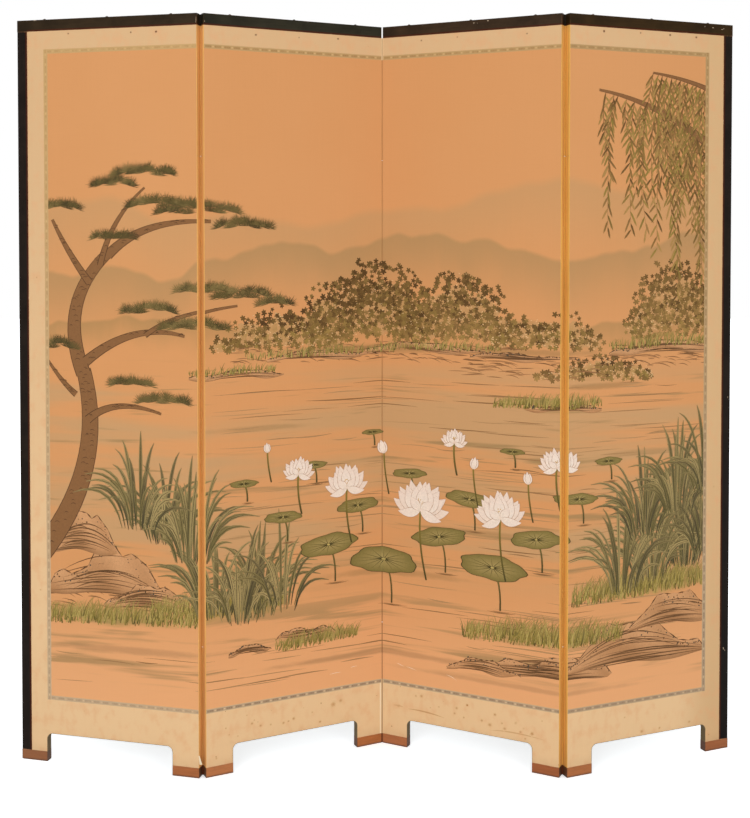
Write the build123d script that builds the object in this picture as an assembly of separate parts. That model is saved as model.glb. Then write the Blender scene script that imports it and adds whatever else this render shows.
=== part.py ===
"""Folding screen of four papered lattice panels on legs, joined by interleaved cloth hinges.

Each panel is modelled upright in its own frame: X runs along its width, Y from the silk in front
to the cloth behind, and Z up from the floor. Pieces at an end are modelled at the left end and
mirrored for the right end. The panels are then stood in their zigzag, with the origin on the floor
under the middle of the screen and the fronts towards -Y. Sizes are in millimetres.
"""

from build123d import *
import math
import os

# One panel, outside
panel_height = 1800.0
panel_width = 463.0
panel_thickness = 18.0  # over the silk in front and the cloth behind
leg_width = 68.0
cutout_height = 69.0  # from the floor to the underside between the legs
cutout_radius = 14.0

# Lacquered top rail and outer stiles, and the bare wood shoes
rail_height = 27.5
stile_width = 26.0
shoe_height = 24.0
frame_proud = 0.6  # how far frame and shoes stand out from the panel's faces
outer_rounding = 1.5
inner_rounding = 0.4
fold_setback = 0.3  # how far rails and shoes stop short of the panel's end at a fold

# Layers, from the front: silk, paper board, lattice core, paper board with cloth
silk_thickness = 0.4
board_thickness = 1.0
lining_thickness = 0.8  # cloth turned into the cut-out

# Silks on the front, measured from the panel's outer edges
side_border = 43.0  # plain silk beside an outer stile
top_border = 44.0
band_width = 10.5
bottom_band_height = 152.5  # from the floor to the lower edge of the lower band

# Core of the panel
core_stile_width = 30.0
core_top_rail_height = 34.0
core_bottom_rail_height = 60.0
leg_post_height = 130.0  # how far the wide foot of a core stile reaches above the shoe
corner_block_share = 0.75  # of the rounding's radius, which leaves the block's edges some thickness
tenon_length = 16.0
tenon_shoulder = 8.0
bar_width = 12.0
bar_stub = 6.0  # how far a lattice bar is let into the frame
upright_bars = 2
cross_bars = 10

# Interleaved cloth hinges
hinge_cloth = 0.4
hinge_flap = 24.0  # glued under the silk or the back cloth
hinge_lip = 1.4  # cloth left in sight round the corner
flap_thickness = 0.3
lower_break = 307.0  # heights where the strips change over from one face to the other
upper_break = 1468.0
break_gap = 0.6
fold_gap = 2.4  # between two panels when they stand in line
pivot_offset = 1.0  # from the panel's face out to the fold's axis
fold_clearance = 0.3  # between the roll of cloth at a fold and the neighbouring panel
web_depth = 0.6  # of the cloth that joins the roll to its panel's corner

# Round-headed nails, all alike: through each rail into the core, and up through each shoe
nail_length = 40.0
nail_radius = 0.9
nail_head_radius = 4.4
nail_head = 3.2  # height of the domed head
nail_crown_radius = 1.0  # of the dome's small flat top
nail_shoulder = (3.15, 2.05)  # a point that the dome's curve passes through
nail_point = 2.0
nail_tip_radius = 0.2
nail_inset = 68.0  # from the panel's ends to the first and last nail of a rail
shoe_nail_inset = 18.0
shoe_nail_depth = 3.6  # from the shoe's underside to the seat of the nail's head

# How the screen stands at rest, as each panel's turn about Z in degrees
standing_turns = (-14.0, 26.0, -26.0, 22.0)

# What each end of a panel meets: nothing, a fold with its axis behind, or one with its axis in front
panel_ends = (
    ("free", "axis_behind"),
    ("axis_behind", "axis_in_front"),
    ("axis_in_front", "axis_behind"),
    ("axis_behind", "free"),
)

core_top = panel_height - rail_height
back_cover_thickness = board_thickness + silk_thickness
core_depth = (silk_thickness + board_thickness, panel_thickness - back_cover_thickness)
frame_depth = (-frame_proud, panel_thickness + frame_proud)
whole_depth = (0.0, panel_thickness)
cutting_depth = (-panel_thickness, 2 * panel_thickness)
lined_leg = leg_width - lining_thickness
rail_seat = cutout_height + lining_thickness
bottom_rail_top = rail_seat + core_bottom_rail_height
top_rail_bottom = core_top - core_top_rail_height


def block(across, depth, upright):
    """A box between the two limits given along each axis."""
    limits = (across, depth, upright)
    middle = [(low + high) / 2 for low, high in limits]
    size = [high - low for low, high in limits]
    return Pos(*middle) * Box(*size)


def at_end(shape, side):
    """The left end's shape as it is, or its mirror image for the right end."""
    if side == "left":
        return shape
    return mirror(shape, about=Plane.YZ.offset(panel_width / 2))


def end_start(end):
    """Where board and core begin, inside the outer stile or the hinge cloth."""
    return stile_width if end == "free" else hinge_cloth


def end_setback(end):
    return 0.0 if end == "free" else fold_setback


def silk_start(end):
    """Where the silk begins: a fold that opens in front shows a lip of hinge cloth."""
    if end == "free":
        return stile_width
    return hinge_lip if end == "axis_behind" else hinge_cloth


def span(ends, start):
    """The stretch of a panel's width between what start gives for its two ends."""
    return (start(ends[0]), panel_width - start(ends[1]))


def cutout(grow, bottom):
    """The space between the legs, made larger all round by grow, with its upper corners rounded."""
    across = (leg_width - grow, panel_width - leg_width + grow)
    space = block(across, cutting_depth, (bottom, cutout_height + grow))
    corners = space.edges().filter_by(Axis.Y).group_by(Axis.Z)[-1]
    return fillet(corners, cutout_radius + grow)


def nail():
    """A nail that points down, with the seat of its domed head at the origin."""
    shank = nail_length - nail_point
    outline = Polyline(
        (nail_crown_radius, nail_head), (0, nail_head), (0, -nail_length), (nail_tip_radius, -nail_length),
        (nail_radius, -shank), (nail_radius, 0), (nail_head_radius, 0),
    )
    dome = ThreePointArc((nail_head_radius, 0), nail_shoulder, (nail_crown_radius, nail_head))
    return revolve(Plane.XZ * make_face([outline, dome]), Axis.Z)


def nail_places():
    """Every nail of one panel where it is driven."""
    middle = panel_thickness / 2
    rail_row = (nail_inset, panel_width / 2, panel_width - nail_inset)
    places = [Pos(x, middle, panel_height) for x in rail_row]
    for x in (shoe_nail_inset, leg_width - shoe_nail_inset):
        for place in (x, panel_width - x):
            places.append(Pos(place, middle, shoe_nail_depth) * Rot(180, 0, 0))
    return places


def nails():
    return [place * nail() for place in nail_places()]


def nail_holes():
    """The nails' own shapes, with the recess under each head in a shoe."""
    recess = Pos(0, 0, shoe_nail_depth / 2) * Cylinder(nail_head_radius, shoe_nail_depth)
    shoe_nails = [place for place in nail_places() if place.position.Z < shoe_height]
    return nails() + [place * recess for place in shoe_nails]


def tenoned(across, upright):
    """A core rail between two shoulders, with a tenon at each end."""
    rail = block(across, core_depth, upright)
    third = (core_depth[1] - core_depth[0]) / 3
    tenon_depth = (core_depth[0] + third, core_depth[1] - third)
    long = (across[0] - tenon_length, across[1] + tenon_length)
    low, high = upright
    return rail + block(long, tenon_depth, (low + tenon_shoulder, high - tenon_shoulder))


def core_field(ends):
    """The width between the inner faces of the two core stiles."""
    low, high = span(ends, end_start)
    return (low + core_stile_width, high - core_stile_width)


def make_core_rails(ends):
    """The top rail between the core stiles and the bottom rail between the legs."""
    top = tenoned(core_field(ends), (top_rail_bottom, core_top))
    between_legs = (lined_leg, panel_width - lined_leg)
    bottom = tenoned(between_legs, (rail_seat, bottom_rail_top))
    return [top, bottom]


def make_corner_blocks():
    """Glue blocks that round the cut-out's upper corners."""
    reach = corner_block_share * (cutout_radius + lining_thickness)
    square = block((lined_leg, lined_leg + reach), core_depth, (rail_seat - reach, rail_seat))
    left = square - cutout(lining_thickness, 0)
    return [left, at_end(left, "right")]


def make_core_stile(end):
    """A core stile, which widens into the leg at its foot."""
    start = end_start(end)
    post_top = shoe_height + leg_post_height
    stile = block((start, start + core_stile_width), core_depth, (shoe_height, core_top))
    return stile + block((start, lined_leg), core_depth, (shoe_height, post_top))


def make_lattice(ends):
    """Upright and cross bars, half-lapped where they cross and stub-tenoned into the frame."""
    left, right = core_field(ends)
    bottom, top = bottom_rail_top, top_rail_bottom
    half = bar_width / 2
    mid_depth = sum(core_depth) / 2
    quarter = (core_depth[1] - core_depth[0]) / 4
    stub_depth = (mid_depth - quarter, mid_depth + quarter)
    columns = [left + (right - left) * (i + 1) / (upright_bars + 1) for i in range(upright_bars)]
    rows = [bottom + (top - bottom) * (i + 1) / (cross_bars + 1) for i in range(cross_bars)]
    uprights = []
    for x in columns:
        width = (x - half, x + half)
        bar = block(width, core_depth, (bottom, top))
        bar += block(width, stub_depth, (bottom - bar_stub, top + bar_stub))
        for z in rows:
            bar -= block(width, (core_depth[0], mid_depth), (z - half, z + half))
        uprights.append(bar)
    crossings = []
    for z in rows:
        height = (z - half, z + half)
        bar = block((left, right), core_depth, height)
        bar += block((left - bar_stub, right + bar_stub), stub_depth, height)
        for x in columns:
            bar -= block((x - half, x + half), (mid_depth, core_depth[1]), height)
        crossings.append(bar)
    return uprights + crossings


def hinge_sections():
    """The heights of the three strips of a hinge, from the floor up."""
    half = break_gap / 2
    return (
        (shoe_height, lower_break - half),
        (lower_break + half, upper_break - half),
        (upper_break + half, core_top),
    )


def make_cloth_roll(height):
    """The roll of cloth on the fold's axis behind the left end, and the web that ties it there."""
    reach = fold_gap / 2
    radius = math.hypot(reach, pivot_offset) - fold_clearance
    corner = panel_thickness
    axis_depth = panel_thickness + pivot_offset
    low, high = height[0] + break_gap / 2, height[1] - break_gap / 2
    roll = Pos(-reach, axis_depth, (low + high) / 2) * Cylinder(radius, high - low)
    outline = Polyline(
        (0, corner), (0, corner - web_depth), (-reach, axis_depth - web_depth), (-reach, axis_depth), close=True
    )
    return roll + Pos(0, 0, low) * extrude(make_face(outline), high - low)


def make_end_cloth(end, landings):
    """Hinge cloth at the left end of a panel: a strip round the corner away from the fold's axis in
    each section. The strip runs on into a roll on the axis, but in the sections in landings the
    neighbour's strip crosses instead, and its far end lies on this panel."""
    inner = silk_thickness + flap_thickness
    lip_depth = (0.0, inner)
    flap_depth = (silk_thickness, inner)
    far_depth = (panel_thickness - inner, panel_thickness - silk_thickness)
    strips = []
    for index, height in enumerate(hinge_sections()):
        strip = block((0.0, hinge_cloth), whole_depth, height)
        strip += block((0.0, hinge_lip), lip_depth, height)
        strip += block((0.0, hinge_flap), flap_depth, height)
        if index in landings:
            strips.append(block((hinge_cloth, hinge_flap), far_depth, height))
        else:
            strip += make_cloth_roll(height)
        strips.append(strip)
    if end == "axis_behind":
        return strips
    swapped = Plane.XZ.offset(-panel_thickness / 2)
    return [mirror(strip, about=swapped) for strip in strips]


def make_sheet(ends, start, depth, cloths):
    """A layer that covers the panel between shoes and rail, cut out between the legs."""
    sheet = block(span(ends, start), depth, (shoe_height, core_top))
    sheet -= cutout(lining_thickness, 0)
    for cloth in cloths:
        sheet -= cloth
    return sheet


def picture_space(ends, grow):
    """The area of the picture, made larger by grow on the sides that have a band."""
    bottom = bottom_band_height + band_width - grow
    top = core_top - top_border - band_width + grow
    across = list(span(ends, silk_start))
    inset = side_border + band_width - grow
    if ends[0] == "free":
        across[0] += inset
    if ends[1] == "free":
        across[1] -= inset
    return block(across, (0.0, silk_thickness), (bottom, top))


def make_silks(ends):
    """Picture, patterned band round it and plain border, side by side on the front board."""
    picture = picture_space(ends, 0.0)
    banded = picture_space(ends, band_width)
    sheet = make_sheet(ends, silk_start, (0.0, silk_thickness), [])
    return {
        "picture_silk": [picture],
        "patterned_band": (banded - picture).solids(),
        "border_silk": (sheet - banded).solids(),
    }


def make_lining():
    """Back cloth turned into the cut-out, from one shoe over to the other."""
    outside = cutout(lining_thickness, shoe_height)
    outside &= block((0.0, panel_width), whole_depth, (0.0, panel_height))
    return outside - cutout(0.0, 0.0)


def make_top_rail(ends):
    """The rail over a panel, rounded along the top and just broken along the bottom."""
    rail = block(span(ends, end_setback), frame_depth, (core_top, panel_height))
    rail = fillet(rail.edges().filter_by(Axis.X).group_by(Axis.Z)[-1], outer_rounding)
    return fillet(rail.edges().filter_by(Axis.X).group_by(Axis.Z)[0], inner_rounding)


def make_outer_stile():
    """The stile on a free end, rounded outside and just broken inside."""
    stile = block((0.0, stile_width), frame_depth, (shoe_height, core_top))
    stile = fillet(stile.edges().filter_by(Axis.Z).group_by(Axis.X)[0], outer_rounding)
    return fillet(stile.edges().filter_by(Axis.Z).group_by(Axis.X)[-1], inner_rounding)


def make_shoe(end):
    """The wooden shoe under a leg, with its lower edges broken."""
    shoe = block((end_setback(end), leg_width), frame_depth, (0.0, shoe_height))
    return fillet(shoe.edges().group_by(Axis.Z)[0], inner_rounding)


def make_panel(number):
    """Every piece of one panel, in the panel's own frame, as a list of solids under each name."""
    ends = panel_ends[number - 1]
    name = f"panel_{number}_"
    pieces = {}
    cloths = {}
    for side, end, fold in (("left", ends[0], number - 1), ("right", ends[1], number)):
        if end == "free":
            stile = at_end(make_outer_stile(), side)
            pieces[f"{side}_outer_stile"] = [stile]
            continue
        takes_ends = (end == "axis_behind") == (side == "left")
        landings = (0, 2) if takes_ends else (1,)  # strips change faces from section to section
        cloths[f"fold_{fold}_cloth_on_panel_{number}"] = [
            at_end(strip, side) for strip in make_end_cloth(end, landings)
        ]
    all_cloth = [strip for strips in cloths.values() for strip in strips]
    rails = make_core_rails(ends)
    bars = make_lattice(ends)
    stiles = []
    for side, end in zip(("left", "right"), ends):
        stile = at_end(make_core_stile(end), side)
        for let_in in rails + bars:
            stile -= let_in
        stiles.append(stile)
    for index in (0, 1):
        for bar in bars[:upright_bars]:
            rails[index] -= bar
    front = core_depth[0] - board_thickness
    back = panel_thickness - back_cover_thickness
    pieces[name + "core_stiles"] = stiles
    pieces[name + "core_rails"] = rails
    pieces[name + "lattice_bars"] = bars
    pieces[name + "corner_blocks"] = make_corner_blocks()
    pieces[name + "front_board"] = [
        make_sheet(ends, end_start, (front, core_depth[0]), all_cloth)
    ]
    pieces[name + "back_cover"] = [
        make_sheet(ends, end_start, (back, panel_thickness), all_cloth)
    ]
    for silk, solids in make_silks(ends).items():
        pieces[name + silk] = solids
    pieces[name + "cutout_lining"] = [make_lining()]
    pieces[name + "top_rail"] = [make_top_rail(ends)]
    pieces[name + "shoes"] = [
        at_end(make_shoe(end), side) for side, end in zip(("left", "right"), ends)
    ]
    holes = nail_holes()
    nailed = ("top_rail", "shoes", "core_rails", "core_stiles", "outer_stile")
    for key in pieces:
        if key.endswith(nailed):
            pieces[key] = [drilled(piece, holes) for piece in pieces[key]]
    pieces[name + "nails"] = nails()
    pieces.update(cloths)
    return pieces


def drilled(piece, holes):
    for hole in holes:
        piece -= hole
    return piece


def turned(x, y, degrees):
    """A point in plan turned about Z."""
    turn = math.radians(degrees)
    return (x * math.cos(turn) - y * math.sin(turn), x * math.sin(turn) + y * math.cos(turn))


def stand_panels():
    """Where each panel's own origin stands in plan, and each fold's axis, before centring."""
    origins = [(0.0, 0.0)]
    axes = []
    for index in range(len(panel_ends) - 1):
        depth = -pivot_offset
        if panel_ends[index][1] == "axis_behind":
            depth = panel_thickness + pivot_offset
        out = turned(panel_width + fold_gap / 2, depth, standing_turns[index])
        axis = (origins[index][0] + out[0], origins[index][1] + out[1])
        back = turned(-fold_gap / 2, depth, standing_turns[index + 1])
        axes.append(axis)
        origins.append((axis[0] - back[0], axis[1] - back[1]))
    return origins, axes


def build():
    """Writes every node, standing in place, and prints where the folds are."""
    origins, axes = stand_panels()
    standing = {}
    for number, (origin, turn) in enumerate(zip(origins, standing_turns), 1):
        place = Pos(origin[0], origin[1], 0) * Rot(0, 0, turn)
        for name, solids in make_panel(number).items():
            standing[name] = [place * solid for solid in solids]
    everything = Compound([solid for solids in standing.values() for solid in solids])
    middle = everything.bounding_box().center()
    os.makedirs("parts", exist_ok=True)
    for name, solids in standing.items():
        moved = [Pos(-middle.X, -middle.Y, 0) * solid for solid in solids]
        export_step(Compound(moved), f"parts/{name}.step")
    for number, (origin, turn) in enumerate(zip(origins, standing_turns), 1):
        print(f"panel {number} origin {origin[0] - middle.X:.4f} {origin[1] - middle.Y:.4f} turn {turn}")
    for number, axis in enumerate(axes, 1):
        print(f"fold {number} axis {axis[0] - middle.X:.4f} {axis[1] - middle.Y:.4f}")


build()
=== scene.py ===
# Folding screen of four silk panels: finishes, painting, marks of age, and the studio it stands in.
# Sizes are in metres, angles in degrees.
import math
import random

import bmesh
import bpy
from mathutils import Matrix, Vector, noise


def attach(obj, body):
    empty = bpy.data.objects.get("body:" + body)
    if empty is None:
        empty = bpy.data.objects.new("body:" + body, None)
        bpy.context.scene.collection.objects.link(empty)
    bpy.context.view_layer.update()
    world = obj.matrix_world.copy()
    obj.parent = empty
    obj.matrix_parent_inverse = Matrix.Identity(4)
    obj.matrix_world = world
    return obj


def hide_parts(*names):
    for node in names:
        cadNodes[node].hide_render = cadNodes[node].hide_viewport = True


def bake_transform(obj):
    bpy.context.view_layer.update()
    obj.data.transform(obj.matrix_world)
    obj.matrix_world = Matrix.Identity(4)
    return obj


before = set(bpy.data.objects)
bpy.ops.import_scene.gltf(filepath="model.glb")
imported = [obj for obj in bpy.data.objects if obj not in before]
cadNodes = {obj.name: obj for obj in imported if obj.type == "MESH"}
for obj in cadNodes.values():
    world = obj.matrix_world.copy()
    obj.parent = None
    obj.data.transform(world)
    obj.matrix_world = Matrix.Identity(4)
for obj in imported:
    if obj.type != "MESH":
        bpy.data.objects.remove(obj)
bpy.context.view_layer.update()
print("frame loaded:", len(cadNodes), "nodes")

panels = {  # origin and turn of each panel in plan, and the ends of its picture along its own width
    1: {"origin": (-0.873368, 0.0016916), "turn": -14, "picture": (0.0795, 0.4616)},
    2: {"origin": (-0.4089526, -0.108724), "turn": 26, "picture": (0.0014, 0.4626)},
    3: {"origin": (0.0102229, 0.0942418), "turn": -26, "picture": (0.0004, 0.4616)},
    4: {"origin": (0.4440023, -0.1093399), "turn": 22, "picture": (0.0014, 0.3835)},
}
panelWidth = 0.463
panelHeight = 1.8
panelThickness = 0.018
pictureHeights = (0.163, 1.718)
frameProud = 0.0006
railHeight = 0.0275
shoeHeight = 0.024
stileWidth = 0.026
legWidth = 0.068


def panelPlace(number):
    x, y = panels[number]["origin"]
    return Matrix.Translation((x, y, 0)) @ Matrix.Rotation(math.radians(panels[number]["turn"]), 4, "Z")


# ---- camera, light and floor

cameraView = {"place": (-0.0134, -2.9978, 1.2938), "pitch": -1.451, "yaw": -0.079, "lens": 54.39, "shift": -0.18}


def srgb(red, green, blue):  # a colour on the 0 to 255 scale, made linear
    shares = [value / 255 for value in (red, green, blue)]
    return (*(share / 12.92 if share <= 0.04045 else ((share + 0.055) / 1.055) ** 2.4 for share in shares), 1.0)


class Signal:  # a node's output; arithmetic on it adds the node that works it out
    def __init__(self, bench, socket):
        self.bench, self.socket = bench, socket


def arithmetic(operation, swapped=False):
    def work(self, other=0.0):
        return self.bench.math(operation, *((other, self) if swapped else (self, other)))

    return work


for sign, operation in {"add": "ADD", "sub": "SUBTRACT", "mul": "MULTIPLY", "truediv": "DIVIDE"}.items():
    setattr(Signal, f"__{sign}__", arithmetic(operation))
    setattr(Signal, f"__r{sign}__", arithmetic(operation, swapped=True))
for sign, operation in {"gt": "GREATER_THAN", "lt": "LESS_THAN", "abs": "ABSOLUTE"}.items():
    setattr(Signal, f"__{sign}__", arithmetic(operation))


class Bench:  # adds nodes to one tree and wires them
    def __init__(self, tree):
        self.tree = tree

    def add(self, kind, sockets=None, **settings):
        made = self.tree.nodes.new(kind)
        for name, value in settings.items():
            setattr(made, name, value)
        for name, value in (sockets or {}).items():
            self.feed(made.inputs[name], value)
        return made

    def feed(self, socket, value):
        if isinstance(value, Signal):
            self.tree.links.new(value.socket, socket)
        else:
            socket.default_value = value

    def out(self, kind, sockets=None, output=0, **settings):  # adds a node and gives one of its outputs
        return Signal(self, self.add(kind, sockets, **settings).outputs[output])

    def outs(self, node):  # all of a node's outputs, by name
        return {socket.name: Signal(self, socket) for socket in node.outputs}

    def math(self, operation, first, second=0.0, clamp=False):
        return self.out("ShaderNodeMath", {0: first, 1: second}, operation=operation, use_clamp=clamp)

    def vector(self, operation, first, second=None):
        sockets = {0: first} if second is None else {0: first, 3 if operation == "SCALE" else 1: second}
        return self.out("ShaderNodeVectorMath", sockets, "Value" if operation == "LENGTH" else 0, operation=operation)

    def stretch(self, vector, scale):
        return self.vector("MULTIPLY", vector, scale)

    def shift(self, vector, by):
        return self.vector("ADD", vector, by)

    def tint(self, colour, tone):  # a colour made lighter or darker by a value about 1
        return self.vector("SCALE", colour if isinstance(colour, Signal) else colour[:3], tone)

    def ease(self, value, low, high, start=0.0, end=1.0):
        spread = {"Value": value, "From Min": low, "From Max": high, "To Min": start, "To Max": end}
        return self.out("ShaderNodeMapRange", spread, interpolation_type="SMOOTHSTEP")

    def blend(self, share, first, second, mode="MIX"):
        return self.out("ShaderNodeMix", {0: share, 6: first, 7: second}, 2, data_type="RGBA", blend_type=mode)

    def noise(self, vector, scale, detail=3.0, rough=0.5, bend=0.0):
        sockets = {"Vector": vector, "Scale": scale, "Detail": detail, "Roughness": rough, "Distortion": bend}
        return self.out("ShaderNodeTexNoise", sockets)

    def drawn(self, vector, scale, detail=3.0, rough=0.5, bend=0.0):  # noise with its own scale along each axis
        return self.noise(self.stretch(vector, scale), 1.0, detail, rough, bend)

    def wave(self, vector, scale, bend, direction):
        sockets = {"Vector": vector, "Scale": scale, "Distortion": bend}
        return self.out("ShaderNodeTexWave", sockets, 1, bands_direction=direction)

    def split(self, vector):
        return [Signal(self, socket) for socket in self.add("ShaderNodeSeparateXYZ", {0: vector}).outputs]

    def bump(self, height, distance, strength=1.0):
        return self.out("ShaderNodeBump", {"Height": height, "Distance": distance, "Strength": strength})

    def group(self, kind, **sockets):
        return self.outs(self.add("ShaderNodeGroup", sockets, node_tree=kind))

    def seen(self):  # 1 for rays that show a thing to the camera, straight or by way of glass and gloss
        rays = self.outs(self.add("ShaderNodeLightPath"))
        direct = self.math("MAXIMUM", rays["Is Camera Ray"], rays["Is Glossy Ray"])
        return self.math("MAXIMUM", direct, rays["Is Transmission Ray"])


class Finish(Bench):  # one material, its colour laid on in layers
    def __init__(self, name, number=None, roughness=0.6, specular=0.3, sheen=0.0):
        self.material = bpy.data.materials.new(name)
        self.material.use_nodes = True
        super().__init__(self.material.node_tree)
        self.shader = self.tree.nodes["Principled BSDF"].inputs
        for label, value in (("Roughness", roughness), ("Specular IOR Level", specular), ("Sheen Weight", sheen)):
            self.shader[label].default_value = value
        self.own = panelCoordinates(self, number) if number else self.out("ShaderNodeTexCoord", output="Object")

    def over(self, share, colour, mode="MIX"):
        self.colour = self.blend(share, self.colour, colour, mode)

    def close(self, colour, height, depth, strength):
        self.feed(self.shader["Base Color"], colour)
        self.feed(self.shader["Normal"], self.bump(height, depth, strength))
        return self.material

    def woven(self, pitch, slub, depth, strength, tone=None):  # threads in the colour and on the surface
        weave = self.group(silkWeave, Vector=self.own, Pitch=pitch, Slub=slub)
        shade = weave["Tone"] * tone if tone else weave["Tone"]
        return self.close(self.tint(self.colour, shade), weave["Height"], depth, strength)


def newGroup(name, inputs, outputs):
    tree = bpy.data.node_groups.new(name, "ShaderNodeTree")
    for label, kind, value in inputs:
        socket = tree.interface.new_socket(name=label, in_out="INPUT", socket_type="NodeSocket" + kind)
        if value is not None:
            socket.default_value = value
    for label, kind in outputs:
        tree.interface.new_socket(name=label, in_out="OUTPUT", socket_type="NodeSocket" + kind)
    bench = Bench(tree)
    return tree, bench, bench.outs(bench.add("NodeGroupInput")), bench.add("NodeGroupOutput").inputs


def panelCoordinates(bench, number, along=0.0):  # a panel's own X, Y and Z; along moves X on, over several panels
    x, y, _ = panelPlace(number).inverted().translation
    turn = (0, 0, -math.radians(panels[number]["turn"]))
    place = bench.out("ShaderNodeTexCoord", output="Object")
    sockets = {"Vector": place, "Location": (x + along, y, 0), "Rotation": turn}
    return bench.out("ShaderNodeMapping", sockets, vector_type="POINT")


studio = {
    "world": 0.60,
    "floorBounce": (0.82, 0.82, 0.82, 1),
    "floorSeen": (1.10, 1.15, 1.19, 1),
    "floorGlow": (0.40, 0.9),
    "whiteFrom": (0.5, 1.5),
    "floorRadius": 16,
    "lampSize": 2.6,
    "lampTarget": (0, 0, 0.8),
    "lamps": {"key_lamp": ((-1.7, -3.8, 1.9), 53), "fill_lamp": ((2.3, -3.4, 1.5), 34)},  # place and watts
}


def link(name, data):
    made = bpy.data.objects.new(name, data)
    bpy.context.scene.collection.objects.link(made)
    return made


def makeCamera():
    camera = link("camera", bpy.data.cameras.new("camera"))
    camera.data.lens = cameraView["lens"]
    camera.data.sensor_width = 36.0
    camera.data.shift_y = cameraView["shift"]
    camera.location = cameraView["place"]
    camera.rotation_euler = (math.radians(90 + cameraView["pitch"]), 0, math.radians(cameraView["yaw"]))
    bpy.context.scene.camera = camera
    bpy.context.scene.view_settings.view_transform = "Standard"


def makeWorld():
    world = bpy.data.worlds.new("studio")
    bpy.context.scene.world = world
    world.use_nodes = True
    bench = Bench(world.node_tree)
    background = world.node_tree.nodes["Background"].inputs
    background["Color"].default_value = (1, 1, 1, 1)
    bench.feed(background["Strength"], bench.ease(bench.seen(), 0.0, 1.0, studio["world"], 1.0))


def makeFloor():
    bm = bmesh.new()
    bmesh.ops.create_circle(bm, cap_ends=True, radius=studio["floorRadius"], segments=96)
    mesh = bpy.data.meshes.new("floor")
    bm.to_mesh(mesh)
    bm.free()
    pale = Finish("pale_floor", None, 0.9, 0.0)
    seen = pale.seen()
    pale.feed(pale.shader["Base Color"], pale.blend(seen, studio["floorBounce"], studio["floorSeen"]))
    glow = pale.ease(pale.vector("LENGTH", pale.own), *studio["whiteFrom"], *studio["floorGlow"])
    pale.feed(pale.shader["Emission Color"], (1, 1, 1, 1))
    pale.feed(pale.shader["Emission Strength"], glow * seen)
    mesh.materials.append(pale.material)
    link("floor", mesh)


def makeLamp(name, place, watts):
    lamp = bpy.data.lights.new(name, "AREA")
    lamp.shape = "DISK"
    lamp.size = studio["lampSize"]
    lamp.energy = watts
    holder = link(name, lamp)
    holder.location = place
    holder.rotation_euler = (Vector(studio["lampTarget"]) - Vector(place)).to_track_quat("-Z", "Y").to_euler()


makeCamera()
makeWorld()
makeFloor()
for name, (place, watts) in studio["lamps"].items():
    makeLamp(name, place, watts)
print("studio ready")

# ---- effects that several finishes share


def makeSilkWeave():  # fine threads, with thicker slubs running across
    tree, bench, given, out = newGroup(
        "silkWeave",
        [("Vector", "Vector", None), ("Pitch", "Float", 0.0006), ("Slub", "Float", 0.02)],
        [("Tone", "Float"), ("Height", "Float")],
    )
    fine = bench.vector("SCALE", given["Vector"], 1.0 / given["Pitch"])
    across, along = (bench.wave(fine, 0.16, 0.4, direction) for direction in "XZ")
    threads = (across + along) * 0.5
    slubs = bench.drawn(given["Vector"], (14, 14, 900), 2.0)
    streaks = bench.drawn(given["Vector"], (260, 260, 5), 2.0)
    drift = slubs * 0.6 + streaks * 0.4
    tone = 1.0 + (drift - 0.5) * (given["Slub"] * 6.0)
    bench.feed(out["Tone"], tone + (threads - 0.5) * given["Slub"])
    bench.feed(out["Height"], threads * 0.7 + drift * 0.6)
    return tree


def makeAgeSpots():  # scattered round stains; Share is how many cells have one, Size is in cells
    tree, bench, given, out = newGroup(
        "ageSpots",
        [("Vector", "Vector", None), ("Scale", "Float", 60.0), ("Share", "Float", 0.1), ("Size", "Float", 0.25)],
        [("Mask", "Float")],
    )
    flat = bench.stretch(given["Vector"], (1, 0, 1))
    wobble = bench.out("ShaderNodeTexNoise", {"Vector": flat, "Scale": 300.0, "Detail": 2.0}, 1)
    moved = bench.shift(flat, bench.vector("SCALE", bench.shift(wobble, (-0.5, -0.5, -0.5)), 0.004))
    cells = bench.outs(bench.add("ShaderNodeTexVoronoi", {"Vector": moved, "Scale": given["Scale"]}))
    chance, size, strength = bench.split(cells["Color"])
    reach = given["Size"] * (0.35 + size)
    soft = bench.ease(bench.math("SUBTRACT", 1.0, cells["Distance"] / reach, clamp=True), 0.0, 0.55)
    bench.feed(out["Mask"], soft * (chance < given["Share"]) * (0.4 + strength * 0.6))
    return tree


def makeBoxEdge():  # distance to the nearest edge of a box, inside its faces
    tree, bench, given, out = newGroup(
        "boxEdge",
        [("Vector", "Vector", None), ("Centre", "Vector", (0, 0, 0)), ("Half", "Vector", (1, 1, 1))],
        [("Distance", "Float")],
    )
    away = bench.vector("ABSOLUTE", bench.vector("SUBTRACT", given["Vector"], given["Centre"]))
    inside = bench.split(bench.vector("SUBTRACT", given["Half"], away))
    sides = [bench.math("MAXIMUM", side, 0.0) for side in inside]
    farthest = bench.math("MAXIMUM", sides[0], bench.math("MAXIMUM", *sides[1:]))
    x, y, z, most = (bench.math("POWER", side, 2.0) for side in (*sides, farthest))
    bench.feed(out["Distance"], bench.math("SQRT", bench.math("MAXIMUM", x + y + z - most, 0.0)))
    return tree


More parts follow.
